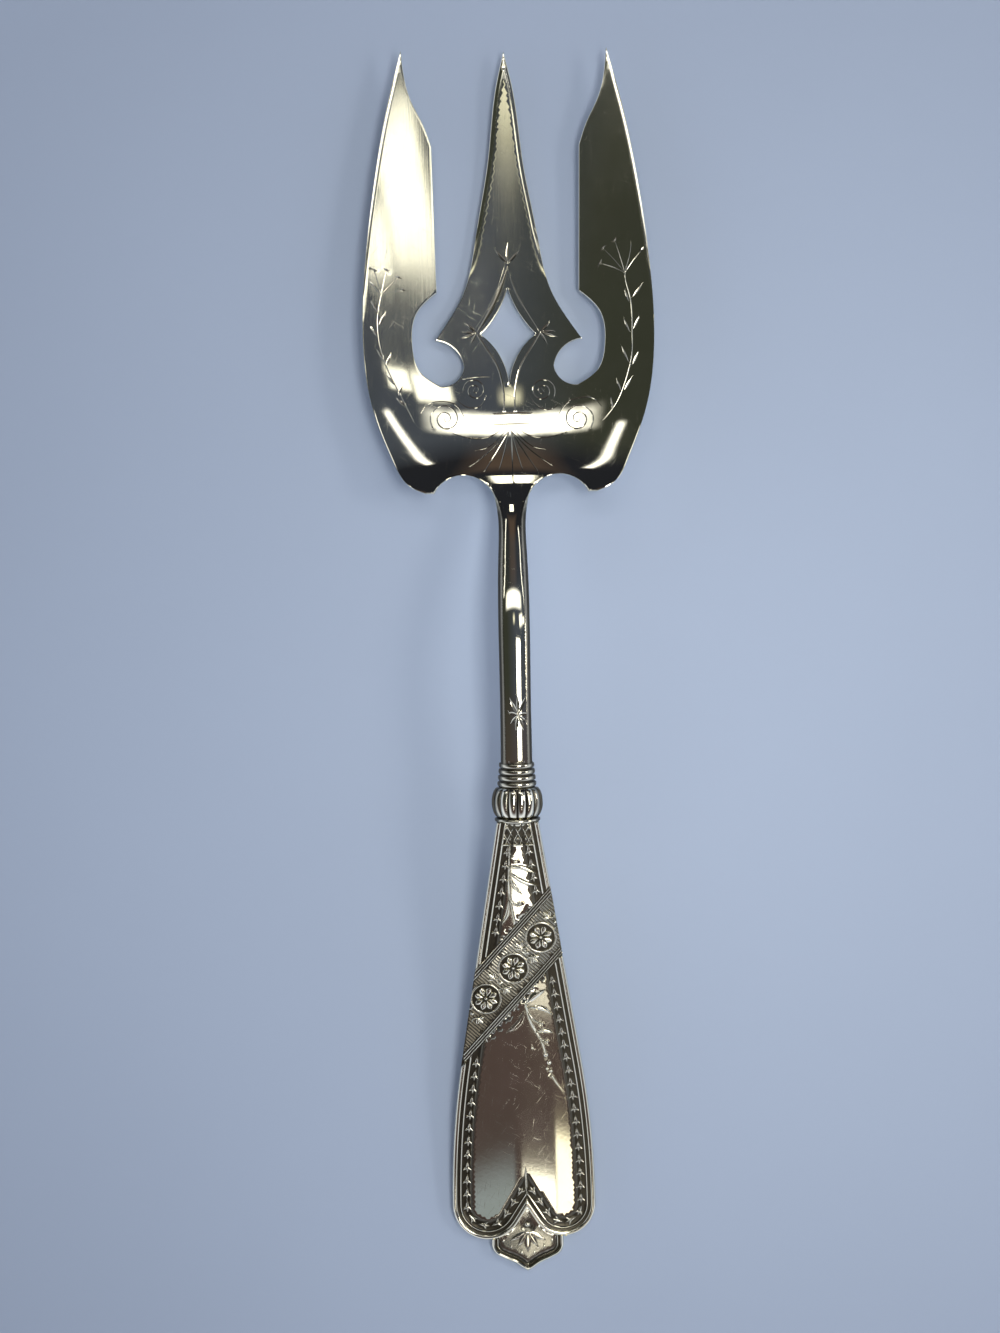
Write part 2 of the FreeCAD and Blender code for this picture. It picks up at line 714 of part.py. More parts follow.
parts.append(raised(bosses, size("petal_height") + 0.1, 0.85))

# Darts that point up the handle, following the channel
def dart(centre, heading):
    """Flat face of a dart with swept wings."""
    long, wide = size("dart_length"), size("dart_width")
    wings = [(0.5, 0), (-0.05, -0.16), (-0.38, -0.5), (-0.5, 0), (-0.38, 0.5), (-0.05, 0.16)]
    return polygon(centre, heading, [(p * long, q * wide) for p, q in wings])


darts = []
path_inset = (CHANNEL + PANEL) / 2
for s in (1, -1):
    path, _ = shield_side(s, path_inset)
    wire = Part.Wire(Part.__sortEdges__(path))
    total = wire.Length
    count = int(total / size("dart_pitch"))
    spots_on_path = wire.discretize(Number=count + 1)
    top_first = spots_on_path[0].y > spots_on_path[-1].y
    if not top_first:
        spots_on_path = spots_on_path[::-1]
    for k in range(1, count):
        p, ahead_of = spots_on_path[k], spots_on_path[k - 1]
        heading = math.atan2(ahead_of.y - p.y, ahead_of.x - p.x)
        centre = (p.x, p.y + HALF)
        dx, du = centre[0] - BAND[0], centre[1] - BAND[1]
        across = abs(du * math.cos(TILT) - dx * math.sin(TILT))
        clear = size("dart_length") / 2 + 0.15
        if across > OUTER_HALF + clear and centre[1] < LATTICE - 0.9 - clear:
            darts.append(dart(centre, heading))
parts.append(raised(darts, size("dart_height")))

# Lattice panel under the collar
half_top = size("handle_top_width") / 2 - CHANNEL + 0.25
lattice = []
for k in range(-2, 3):
    for s in (1, -1):
        a = (1.55 * k - s * 1.35, LATTICE)
        b = (1.55 * k + s * 1.35, COLLAR_FOOT)
        lattice.append(bar(a, b, 0.3))
frame = shield(CHANNEL - 0.1).common(bar((0, LATTICE), (0, COLLAR_FOOT), 9))
lattice_shape = lattice[0].multiFuse(lattice[1:]).common(frame)
parts.append(raised([lattice_shape], size("line_height")))
rule = bar((-9, LATTICE - 0.2), (9, LATTICE - 0.2), 0.4).common(shield(CHANNEL - 0.1))
parts.append(raised([rule], size("leaf_height")))

# Sprigs above and below the band, stems a little lower than the leaves
stems, leaves, berries = [], [], []
top = LATTICE - 0.6


def sprig(root, tips, width):
    for tip_end in tips:
        leaves.append(leaf(root, tip_end, width))


stems.append(bar((-1.5, top), (-2.2, top - 5.0), 0.3))
stems.append(bar((-2.2, top - 4.9), (-2.0, top - 10.4), 0.3))
sprig((-2.1, top - 4.6), [(3.0, top - 5.2), (2.6, top - 7.4)], 0.8)
sprig((-2.15, top - 6.4), [(-0.2, top - 10.3)], 0.7)
sprig((-2.1, top - 9.0), [(-3.4, top - 13.0)], 0.7)
berries.append(disc((-0.4, top - 2.9), 0.38))
berries.append(disc((0.2, top - 10.6), 0.36))
lower = (1.0, BAND[1] - 6.4)
stems.append(bar(lower, (2.3, lower[1] - 4.6), 0.3))
stems.append(bar((2.25, lower[1] - 4.5), (4.9, lower[1] - 12.6), 0.3))
sprig(lower, [(4.9, lower[1] + 2.5), (5.7, lower[1] - 2.4)], 0.95)
sprig((2.1, lower[1] - 3.4), [(6.4, lower[1] - 5.6)], 0.8)
berries.append(disc((3.7, lower[1] - 3.9), 0.36))
berries.append(disc((5.0, lower[1] - 7.4), 0.36))
berries.append(disc((3.5, lower[1] - 9.0), 0.34))
sprig((4.9, lower[1] - 12.4), [(7.2, lower[1] - 17.2)], 0.5)
over_panel = shield(PANEL - 0.7).cut(strip)
stem_shape = stems[0].multiFuse(stems[1:]).common(over_panel)
leaf_shapes = [shape.common(over_panel) for shape in leaves]
parts.append(raised([stem_shape], size("leaf_height") - 0.08, 0.8))
parts.append(raised([leaf_shapes[0].multiFuse(leaf_shapes[1:])], size("leaf_height"), 0.7))
parts.append(raised(berries, size("leaf_height") + 0.08, 0.9))

# Small leaves between the medallions
sprouts = []
for a, b, turn in ((3.85, 2.4, 90), (3.85, -2.4, -90), (-3.85, 2.4, 90), (-3.85, -2.4, -90)):
    w = TILT + math.radians(turn)
    root = on_band(a, b * 0.42)
    for lean in (-0.75, 0.0, 0.75):
        sprouts.append(leaf(root, on_circle(root, 1.55, w + lean), 0.5))
sprout_shape = sprouts[0].multiFuse(sprouts[1:])
parts.append(raised([sprout_shape], size("petal_height") - 0.04, 0.7))

# Palmette: rim, fan of petals, bead and dots
EDGE = 0.72
rim = foot.cut(palmette(EDGE)).cut(field)
parts.append(raised([rim], size("moulding_height")))
fan_root = (CUSP[0], CUSP[1] - 4.4)
fan = []
for turn, reach in ((-90, 4.0), (-122, 3.3), (-58, 3.3), (-152, 3.3), (-28, 3.3)):
    fan_tip = on_circle(fan_root, reach, math.radians(turn))
    fan.append(leaf(on_circle(fan_root, 0.45, math.radians(turn)), fan_tip, 0.85))
fan_shape = fan[0].multiFuse(fan[1:]).cut(field)
parts.append(raised([fan_shape], size("petal_height")))
dots = [disc((fan_root[0], fan_root[1] + 1.0), 0.45)]
for turn in (-106, -74, -137, -43):
    dots.append(disc(on_circle(fan_root, 3.75, math.radians(turn)), 0.22))
parts.append(raised(dots, size("petal_height") - 0.05, 0.9))

# Join everything and wear the two resting places flat
handle = feature("Handle", parts[0].multiFuse(parts[1:]))
joined = doc.addObject("Part::MultiFuse", "Joined")
joined.Shapes = [head, shaft, collar, handle]
joined.Refine = False
table = doc.addObject("Part::Box", "Table")
table.setExpression("Length", "Sizes.head_width * 2")
table.setExpression("Width", "(Sizes.handle_length + Sizes.collar_length + Sizes.shaft_length"
                    " + Sizes.bowl_length + Sizes.tine_length) * 1.2")
table.Height = 10
table.setExpression("Placement.Base.x", "-Sizes.head_width")
table.setExpression("Placement.Base.y", "-Width / 2")
table.Placement.Base.z = -10
doc.recompute()
fork = doc.addObject("Part::Cut", "Fork")
fork.Base = joined
fork.Tool = table
fork.Refine = False
fork.Label = "fork"
doc.recompute()

# Checks before anything is written
for obj in doc.Objects:
    if "Invalid" in obj.State or "Error" in obj.State:
        raise RuntimeError(obj.Name + " failed to build")
if fork.Shape.isNull() or not fork.Shape.isValid():
    raise RuntimeError("the fork's shape is not valid")
if len(fork.Shape.Solids) != 1:
    raise RuntimeError("the fork is not one solid but %d" % len(fork.Shape.Solids))
os.makedirs("parts", exist_ok=True)
fork.Shape.exportStep("parts/" + fork.Label + ".step")
box = fork.Shape.optimalBoundingBox(False, False)
print("fork", round(box.XLength, 2), round(box.YLength, 2), round(box.ZLength, 2),
      "volume", round(fork.Shape.Volume, 1))
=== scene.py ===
"""Silver-plated fish serving fork: a fine mesh with its relief and engraving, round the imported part."""

import math
import random

import bpy
import numpy as np
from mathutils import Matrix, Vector
from mathutils.geometry import delaunay_2d_cdt
from mathutils.kdtree import KDTree


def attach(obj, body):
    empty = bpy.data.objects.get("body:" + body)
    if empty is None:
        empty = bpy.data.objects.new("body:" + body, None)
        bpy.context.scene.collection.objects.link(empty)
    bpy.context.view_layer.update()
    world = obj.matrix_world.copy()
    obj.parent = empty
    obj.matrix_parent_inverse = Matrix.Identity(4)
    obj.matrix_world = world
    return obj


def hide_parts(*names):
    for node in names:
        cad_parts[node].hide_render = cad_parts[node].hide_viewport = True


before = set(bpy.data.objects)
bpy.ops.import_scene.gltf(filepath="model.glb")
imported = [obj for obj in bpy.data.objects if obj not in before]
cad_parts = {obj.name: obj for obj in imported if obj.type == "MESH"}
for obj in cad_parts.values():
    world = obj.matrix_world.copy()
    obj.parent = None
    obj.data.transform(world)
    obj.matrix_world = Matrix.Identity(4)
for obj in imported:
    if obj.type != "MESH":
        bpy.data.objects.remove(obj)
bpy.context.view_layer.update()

bl_info = {
    "name": "Fish Serving Fork",
    "version": (1, 0, 0),
    "blender": (4, 5, 0),
    "location": "3D View > Sidebar > Fork",
    "description": "Head, collar and carved handle of a silver-plated fish serving fork",
    "category": "Object",
}

# Places along the fork in millimetres from the palmette's point, as in the part's source
COLLAR_FOOT = 85.1
COLLAR_HEAD = COLLAR_FOOT + 11.0
NECK = COLLAR_HEAD + 47.6
NOTCH = NECK + 40.0
TIP = NOTCH + 44.9
HALF = TIP / 2
BOWL_LENGTH = NOTCH - NECK
TINE_LENGTH = TIP - NOTCH
HEAD_WIDTH = 54.1
PLATE_FLOOR = 1.5

# Spacings of mesh points in millimetres
HEAD_STEP, HEAD_GRID = 0.3, 0.6
HANDLE_STEP, HANDLE_GRID = 0.25, 0.55
BACK_COARSER = 1.6


def smooth(stations):
    """Smooth curve through pairs of place and value, as a function of arrays."""
    us = np.array([s[0] for s in stations], float)
    zs = np.array([s[1] for s in stations], float)
    n = len(us)
    h = np.diff(us)
    a = np.zeros((n, n))
    b = np.zeros(n)
    a[0, 0] = a[-1, -1] = 1.0
    for i in range(1, n - 1):
        a[i, i - 1:i + 2] = h[i - 1], 2 * (h[i - 1] + h[i]), h[i]
        b[i] = 6 * ((zs[i + 1] - zs[i]) / h[i] - (zs[i] - zs[i - 1]) / h[i - 1])
    m = np.linalg.solve(a, b)

    def value(u):
        u = np.clip(np.asarray(u, float), us[0], us[-1])
        i = np.clip(np.searchsorted(us, u, side="right") - 1, 0, n - 2)
        r, t = us[i + 1] - u, u - us[i]
        return ((m[i] * r ** 3 + m[i + 1] * t ** 3) / (6 * h[i])
                + (zs[i] / h[i] - m[i] * h[i] / 6) * r
                + (zs[i + 1] / h[i] - m[i + 1] * h[i] / 6) * t)

    return value


def spaced(points, step):
    """Points along a polyline about a step apart, its own corners kept."""
    out = []
    for a, b in zip(points[:-1], points[1:]):
        a, b = np.array(a, float), np.array(b, float)
        n = max(1, int(round(np.linalg.norm(b - a) / step)))
        out += [a + (b - a) * k / n for k in range(n)]
    out.append(np.array(points[-1], float))
    return np.array(out)


def run_of(line):
    """How far along a line of points each of them lies."""
    return np.concatenate([[0], np.cumsum(np.linalg.norm(np.diff(line, axis=0), axis=1))])


def left_of(line):
    """Unit vectors square to a line of points, towards its left."""
    step = np.gradient(line, axis=0)
    return np.stack([-step[:, 1], step[:, 0]], 1) / np.maximum(np.linalg.norm(step, axis=1), 1e-9)[:, None]


def curve(points, step):
    """Smooth open curve through points, sampled about a step apart."""
    p = np.array(points, float)
    t = run_of(p)
    fx, fu = smooth(list(zip(t, p[:, 0]))), smooth(list(zip(t, p[:, 1])))
    s = np.linspace(0, t[-1], max(2, int(t[-1] / step)) + 1)
    return np.stack([fx(s), fu(s)], 1)


def arc(a, m, b, step):
    """Circular arc from a over m to b, sampled about a step apart."""
    a, m, b = (np.array(p, float) for p in (a, m, b))
    d = 2 * (a[0] * (m[1] - b[1]) + m[0] * (b[1] - a[1]) + b[0] * (a[1] - m[1]))
    qa, qm, qb = a @ a, m @ m, b @ b
    c = np.array([
        qa * (m[1] - b[1]) + qm * (b[1] - a[1]) + qb * (a[1] - m[1]),
        qa * (b[0] - m[0]) + qm * (a[0] - b[0]) + qb * (m[0] - a[0]),
    ]) / d
    r = np.linalg.norm(a - c)
    w = [math.atan2(p[1] - c[1], p[0] - c[0]) for p in (a, m, b)]
    sweep = (w[2] - w[0]) % (2 * math.pi)
    if (w[1] - w[0]) % (2 * math.pi) > sweep:
        sweep -= 2 * math.pi
    s = w[0] + sweep * np.linspace(0, 1, max(2, int(abs(sweep) * r / step)) + 1)
    return c + r * np.stack([np.cos(s), np.sin(s)], 1)


def chained(parts):
    """One polyline from parts that follow each other."""
    return np.concatenate([p[:-1] for p in parts[:-1]] + [parts[-1]])


def mirrored(p):
    """The same points on the other side of the fork's middle line."""
    return np.asarray(p, float) * (-1, 1)


def inside(loops, p):
    """Which points lie inside closed outlines, holes left out."""
    odd = np.zeros(len(p), bool)
    for loop in loops:
        nxt = np.roll(loop, -1, axis=0)
        for (x1, u1), (x2, u2) in zip(loop, nxt):
            if u1 == u2:
                continue
            between = (u1 > p[:, 1]) != (u2 > p[:, 1])
            q = p[between]
            odd[between] ^= q[:, 0] < (x2 - x1) * (q[:, 1] - u1) / (u2 - u1) + x1
    return odd


def tree_of(points):
    """Search tree over flat points."""
    tree = KDTree(len(points))
    for i, (x, u) in enumerate(points):
        tree.insert((x, u, 0), i)
    tree.balance()
    return tree


class Nearest:
    """Distance from points to polylines."""

    def __init__(self, lines, step=0.03):
        self.tree = tree_of(np.concatenate([spaced(line, step) for line in lines]))

    def distance(self, p):
        return np.array([self.tree.find((x, u, 0))[2] for x, u in p])


class Stroke:
    """A raised or cut line with a width at each of its points: leaf, petal, reed or engraved cut."""

    ROWS = {"round": (1.25, 1.0, 0.93, 0.72, 0.38), "cut": (1.0,)}
    TARNISH_REACH = 0.16
    FINE_STEP = 0.04

    def __init__(self, points, widths, height, section="round", base=0.0, step=0.25):
        self.line = points if isinstance(points, np.ndarray) else curve(points, step)
        share = np.linspace(0, 1, len(self.line))
        self.half = np.maximum(np.interp(share, np.linspace(0, 1, len(widths)), widths), 0.01)
        self.height, self.section, self.base = height, section, base
        self.fine = spaced(self.line, self.FINE_STEP)
        self.fine_half = np.interp(run_of(self.fine), run_of(self.line), self.half)
        reach = self.half.max() + self.TARNISH_REACH
        self.low, self.high = self.fine.min(0) - reach, self.fine.max(0) + reach

    def rows(self, skirt=None):
        """Lines of points along the stroke, side by side across it, and at a distance beside it."""
        side = left_of(self.line)
        offsets = [self.half * f for f in self.ROWS[self.section]]
        if skirt:
            offsets.append(self.half + skirt)
        out = [self.line]
        for off in offsets:
            out += [self.line + side * off[:, None], self.line - side * off[:, None]]
        return out

    def lift(self, p, h, shade=None):
        """Raises heights h at points p where the stroke stands, or cuts into them; darkens beside it."""
        near = np.flatnonzero(((p > self.low) & (p < self.high)).all(1))
        if not len(near):
            return
        gap = np.linalg.norm(p[near][:, None] - self.fine[None], axis=2)
        best = gap.argmin(1)
        width, gap = self.fine_half[best], gap[np.arange(len(near)), best]
        r = gap / width
        if shade is not None:
            dark = np.clip(1 - (gap - width) / self.TARNISH_REACH, 0, 1) * (r >= 1)
            shade[near] = np.maximum(shade[near], dark)
            shade[near[r < 0.9]] = 0.0
        on = r < 1
        r, near, width = r[on], near[on], width[on]
        if self.section == "round":
            h[near] = np.maximum(h[near], self.base + (self.height - self.base) * np.sqrt(1 - r * r))
        else:
            h[near] = np.minimum(h[near], -self.height * width * (1 - r))


def petal(root, tip, width, height, base=0.0, bow=0.0, fullness=0.6):
    """Leaf or petal from root to tip, its widest place at a share of its length."""
    root, tip = np.array(root, float), np.array(tip, float)
    along = tip - root
    middle = (root + tip) / 2 + bow * np.array([-along[1], along[0]])
    share = np.linspace(0, 1, 9)
    swell = np.sin(math.pi * share ** (math.log(0.5) / math.log(fullness))) ** 0.75
    swell[[0, -1]] = 0.03
    return Stroke([root, middle, tip], swell * width / 2, height, base=base, step=np.linalg.norm(along) / 7)


def bead(centre, radius, height, base=0.0):
    """Small round bead."""
    middle = np.array(centre, float)
    line = np.array([middle - (0.02, 0), middle + (0.02, 0)])
    return Stroke(line, [radius, radius], height, base=base)


def bead_rows(centre, radius):
    """Rings of points round a bead."""
    w = np.linspace(0, 2 * math.pi, 13)
    ring = np.stack([np.cos(w), np.sin(w)], 1)
    return [np.array(centre) + ring * radius * f for f in (1.0, 0.92, 0.7, 0.35)]


def filled(loops, edge, rings, spacing, extra):
    """Flat triangles inside outlines, through the rings' points, rows of extra points and an even grid."""
    points, links = [], []
    for ring in rings:
        first = len(points)
        points += [tuple(q) for q in ring]
        links += [(first + k, first + (k + 1) % len(ring)) for k in range(len(ring))]
    joined = np.concatenate(extra)
    wanted = inside(loops, joined) & (edge.distance(joined) > 0.02)
    at = 0
    for row in extra:
        last = None
        for k in range(len(row)):
            if wanted[at + k]:
                points.append(tuple(row[k]))
                if k and last == k - 1:
                    links.append((len(points) - 2, len(points) - 1))
                last = k
        at += len(row)
    taken = tree_of(points)
    low, high = loops[0].min(0), loops[0].max(0)
    even = []
    for j, u in enumerate(np.arange(low[1], high[1], spacing * 0.866)):
        xs = np.arange(low[0] + (j % 2) * spacing / 2, high[0], spacing)
        even.append(np.stack([xs, np.full(len(xs), u)], 1))
    even = np.concatenate(even)
    even = even[inside(loops, even)]
    gap = np.array([taken.find((x, u, 0))[2] for x, u in even])
    points += [tuple(q) for q in even[gap > 0.55 * spacing]]
    made, _, faces, *_ = delaunay_2d_cdt([Vector(q) for q in points], links, [], 0, 1e-4, False)
    flat = np.array([(v.x, v.y) for v in made])
    tri = np.array([f for f in faces if len(f) == 3])
    tri = tri[inside(loops, flat[tri].mean(1))]
    used, tri = np.unique(tri, return_inverse=True)
    return flat[used], tri.reshape(-1, 3)


def inset_points(loops, edge, insets):
    """Points that follow the outlines at distances inside them, each a row of its own."""
    out = []
    for loop in loops:
        step = np.roll(loop, -1, axis=0) - np.roll(loop, 1, axis=0)
        normal = np.stack([-step[:, 1], step[:, 0]], 1) / np.linalg.norm(step, axis=1)[:, None]
        if not inside(loops, loop[:1] + normal[:1] * 0.05)[0]:
            normal = -normal
        for t in insets:
            row = loop + normal * t
            fits = np.flatnonzero(np.abs(edge.distance(row) - t) < 0.06 * t)
            out += [row[i:i + 1] for i in fits]
    return out


def rim_rings(tri):
    """Closed rings of corner numbers round the rims of a flat mesh."""
    sides = {}
    for a, b, c in tri:
        for e in ((a, b), (b, c), (c, a)):
            if (e[1], e[0]) in sides:
                del sides[e[1], e[0]]
            else:
                sides[e] = True
    after = {a: b for a, b in sides}
    rings = []
    while after:
        a = next(iter(after))
        ring = []
        while a in after:
            ring.append(a)
            a = after.pop(a)
        rings.append(ring)
    return rings


def plate(loops, insets, lines, grid, top, bottom, wall_rows):
    """Closed mesh between a top and a bottom height over flat outlines.

    loops are closed outlines, the first the outer one. insets are distances from them at
    which points follow them, lines are more rows of points, and grid is the spacing of the
    points elsewhere. top gives the height, and the tarnish with painted shade, of points at a
    distance from the edge, bottom their height below. wall_rows are shares of the way down
    where rows of points go round the edge. Returns corners in millimetres, faces and the
    tarnish with painted shade of each corner.
    """
    edge = Nearest([np.concatenate([loop, loop[:1]]) for loop in loops])
    follow = inset_points(loops, edge, insets)
    flat, tri = filled(loops, edge, loops, grid, follow + lines)
    n = len(flat)
    rings = rim_rings(tri)
    gap = edge.distance(flat)
    for ring in rings:
        gap[ring] = 0.0
    top_z, tarnish_and_shade = top(flat, gap)
    low_flat, low_tri = filled(loops, edge, [flat[r] for r in rings], grid * BACK_COARSER, follow)
    low_tree = tree_of(low_flat)
    partner = {a: low_tree.find((flat[a][0], flat[a][1], 0))[1] for ring in rings for a in ring}
    low_gap = edge.distance(low_flat)
    low_gap[list(partner.values())] = 0.0
    low_z = bottom(low_flat, low_gap)
    corners = [np.column_stack([flat, top_z]), np.column_stack([low_flat, low_z])]
    faces = [tuple(t) for t in tri] + [(a + n, c + n, b + n) for a, b, c in low_tri]
    count = n + len(low_flat)
    for ring in rings:
        strips = [list(ring)]
        for f in wall_rows:
            z = np.array([top_z[a] * (1 - f) + low_z[partner[a]] * f for a in ring])
            corners.append(np.column_stack([flat[ring], z]))
            strips.append(list(range(count, count + len(ring))))
            count += len(ring)
        strips.append([partner[a] + n for a in ring])
        for upper, lower in zip(strips[:-1], strips[1:]):
            for k in range(len(ring)):
                m = (k + 1) % len(ring)
                faces.append((upper[m], upper[k], lower[k], lower[m]))
    return np.concatenate(corners), faces, np.append(tarnish_and_shade, np.zeros(count - n))


def made_object(name, corners, faces, tarnish_and_shade, sharp_deg):
    """Mesh object in metres from corners in millimetres, with how far each corner is darkened by tarnish and
    painted shade.
    """
    mesh = bpy.data.meshes.new(name)
    placed = (np.asarray(corners) - (0, HALF, 0)) / 1000
    mesh.from_pydata(placed.tolist(), [], faces)
    mesh.validate()
    mesh.shade_smooth()
    mesh.set_sharp_from_angle(angle=math.radians(sharp_deg))
    layer = mesh.attributes.new("tarnish_and_shade", "FLOAT", "POINT")
    layer.data.foreach_set("value", np.asarray(tarnish_and_shade, np.float32))
    piece = bpy.data.objects.new(name, mesh)
    bpy.context.scene.collection.objects.link(piece)
    return piece


# Side profile and sections of the head and shaft, as in the part's source
bowl_line = smooth([
    (NECK - 4, 10.9), (NECK, 8.9), (NECK + 0.10 * BOWL_LENGTH, 6.0),
    (NECK + 0.22 * BOWL_LENGTH, PLATE_FLOOR + 2.3), (NECK + 0.38 * BOWL_LENGTH, PLATE_FLOOR + 0.75),
    (NECK + 0.72 * BOWL_LENGTH, PLATE_FLOOR), (NOTCH + 0.15 * TINE_LENGTH, PLATE_FLOOR + 0.285),
    (NOTCH + 0.55 * TINE_LENGTH, PLATE_FLOOR + 0.912), (TIP, PLATE_FLOOR + 1.9),
])
dish_line = smooth([
    (NECK - 4, 2.9), (NECK + 0.10 * BOWL_LENGTH, 5.336), (NECK + 0.30 * BOWL_LENGTH, 6.148),
    (NECK + 0.65 * BOWL_LENGTH, 5.8), (NOTCH + 0.10 * TINE_LENGTH, 5.336),
    (NOTCH + 0.60 * TINE_LENGTH, 4.408), (TIP, 3.596),
])
plate_line = smooth([
    (NECK - 4, 2.0), (NECK + 0.3 * BOWL_LENGTH, 1.7), (NOTCH, 1.6), (TIP, 0.95),
])
SHAFT_LENGTH = NECK - COLLAR_HEAD
shaft_line = smooth([
    (COLLAR_HEAD - 1.5, 15.7), (COLLAR_HEAD + 0.12 * SHAFT_LENGTH, 16.5),
    (COLLAR_HEAD + 0.38 * SHAFT_LENGTH, 17.0), (COLLAR_HEAD + 0.62 * SHAFT_LENGTH, 15.7),
    (COLLAR_HEAD + 0.80 * SHAFT_LENGTH, 13.2), (COLLAR_HEAD + 0.92 * SHAFT_LENGTH, 11.3),
    (NECK, 9.25), (NECK + 3.2, 6.6), (NECK + 7.0, 4.1),
])
shaft_half = smooth([
    (COLLAR_HEAD - 1.5, 2.9), (COLLAR_HEAD + 0.25 * SHAFT_LENGTH, 2.82),
    (COLLAR_HEAD + 0.80 * SHAFT_LENGTH, 2.65), (NECK, 2.95), (NECK + 3.2, 3.55), (NECK + 7.0, 3.05),
])
shaft_depth = smooth([
    (COLLAR_HEAD - 1.5, 4.2), (COLLAR_HEAD + 0.45 * SHAFT_LENGTH, 4.0), (NECK, 3.0), (NECK + 7.0, 1.6),
])


def rounded(gap, radius):
    """How far a rounded edge falls away at a distance from it."""
    t = np.clip(gap / radius, 0, 1)
    return radius * (1 - np.sqrt(np.clip(1 - (1 - t) ** 2, 0, 1)))


def joined_high(a, b, soft):
    """The higher of two heights, with a soft valley between them."""
    h = np.clip(0.5 + 0.5 * (a - b) / soft, 0, 1)
    return b + (a - b) * h + soft * h * (1 - h)


def head_top(p):
    """Height of the face of bowl, tines and shaft."""
    x, u = p[:, 0], p[:, 1]
    share = 2 * np.abs(x) / HEAD_WIDTH
    head = bowl_line(u) + dish_line(u) * share * share
    side = np.clip(x / shaft_half(u), -1.6, 1.6)
    shaft = shaft_line(u) - 0.17 * shaft_depth(u) * side * side
    near = np.clip((u - NECK) / 7.0, 0, 1)
    only_shaft = np.clip((NECK + 0.5 - u) / 2.5, 0, 1)
    blend = joined_high(shaft - 8 * near * near * near, head, 0.5)
    return blend * (1 - only_shaft) + shaft * only_shaft


def head_bottom(p):
    """Height of their underside."""
    x, u = p[:, 0], p[:, 1]
    share = 2 * np.abs(x) / HEAD_WIDTH
    head = bowl_line(u) + dish_line(u) * share * share - plate_line(u)
    side = np.clip(x / shaft_half(u), -1.6, 1.6)
    depth = shaft_depth(u)
    shaft = shaft_line(u) - depth + 0.2 * depth * side * side
    only_shaft = np.clip((NECK + 3.0 - u) / 5.0, 0, 1)
    only_shaft = only_shaft * only_shaft * (3 - 2 * only_shaft)
    return np.maximum(head * (1 - only_shaft) + shaft * only_shaft, 0.0)


def head_outline(step):
    """Outer outline of the head and shaft, and the pierced diamond."""
    reach, point_x = HEAD_WIDTH / 2, 38.3 / 2
    inner = reach - 9.2 - 4.55
    clip = TIP - 17.8
    corner, barb = (inner, NOTCH), (13.75, NOTCH - 9.0)
    notch_x, r = inner - 0.1, 4.75
    notch_foot = (notch_x - 0.4, NOTCH - 17.6)
    notch_in = (notch_x - r, NOTCH - 13.9)
    shoulder = (14.25, NECK + 1.9)
    root = (3.0, NECK + 0.3)
    crest = (shoulder[0] - 5.2, shoulder[1] + 3.6)

    def widening(share):
        return point_x + (reach - point_x) * share

    us = np.linspace(NECK, COLLAR_HEAD - 1, int((NECK - COLLAR_HEAD) / step / 1.5))
    shaft_side = np.stack([shaft_half(us), us], 1)
    half = chained([
        curve([(0, TIP), (1.6, TIP - 0.15 * TINE_LENGTH), (3.3, TIP - 0.45 * TINE_LENGTH),
               (5.7, TIP - 0.75 * TINE_LENGTH), (8.4, NOTCH - 0.3), (10.7, NOTCH - 4.5), barb], step),
        arc(barb, (barb[0] - 3.3, barb[1] - 1.3), notch_in, step),
        arc(notch_in, (notch_x - 3.4, NOTCH - 16.5), notch_foot, step),
        curve([notch_foot, (notch_x + 3.4, NOTCH - 14.9), (notch_x + r, NOTCH - 10.2),
               (notch_x + 3.9, NOTCH - 4.0), corner], step),
        spaced([corner, (inner + 0.5, clip)], step),
        curve([(inner + 0.5, clip), (inner + 2.1, clip + 4.45), (inner + 3.9, clip + 8.01),
               (point_x, TIP)], step),
        curve([(point_x, TIP), (widening(0.30), TIP - 0.2 * TINE_LENGTH),
               (widening(0.72), TIP - 0.6 * TINE_LENGTH), (widening(0.97), NOTCH),
               (reach, NECK + 0.78 * BOWL_LENGTH), (reach - 1.7, NECK + 0.44 * BOWL_LENGTH),
               (reach - 5.1, NECK + 0.21 * BOWL_LENGTH), (reach - 8.4, NECK + 0.08 * BOWL_LENGTH),
               (shoulder[0] + 1.6, shoulder[1])], step),
        spaced([(shoulder[0] + 1.6, shoulder[1]), shoulder], step),
        arc(shoulder, (shoulder[0] - 2.0, shoulder[1] + 2.5), crest, step),
        arc(crest, (root[0] + 1.9, root[1] + 3.6), root, step),
        spaced([root, shaft_side[0]], step),
        shaft_side,
    ])
    outer = np.concatenate([half, mirrored(half[::-1])[:-1]])
    front, length = NOTCH + 0.9, 18.2
    side = np.array((5.15, front - 0.48 * length))
    ahead, behind = (0.42 * side[0], front - 0.27 * length), (0.40 * side[0], front - 0.66 * length)
    right = chained([arc((0, front), ahead, side, step), arc(side, behind, (0, front - length), step)])
    diamond = np.concatenate([right, mirrored(right[::-1])[1:-1]])
    return outer, diamond


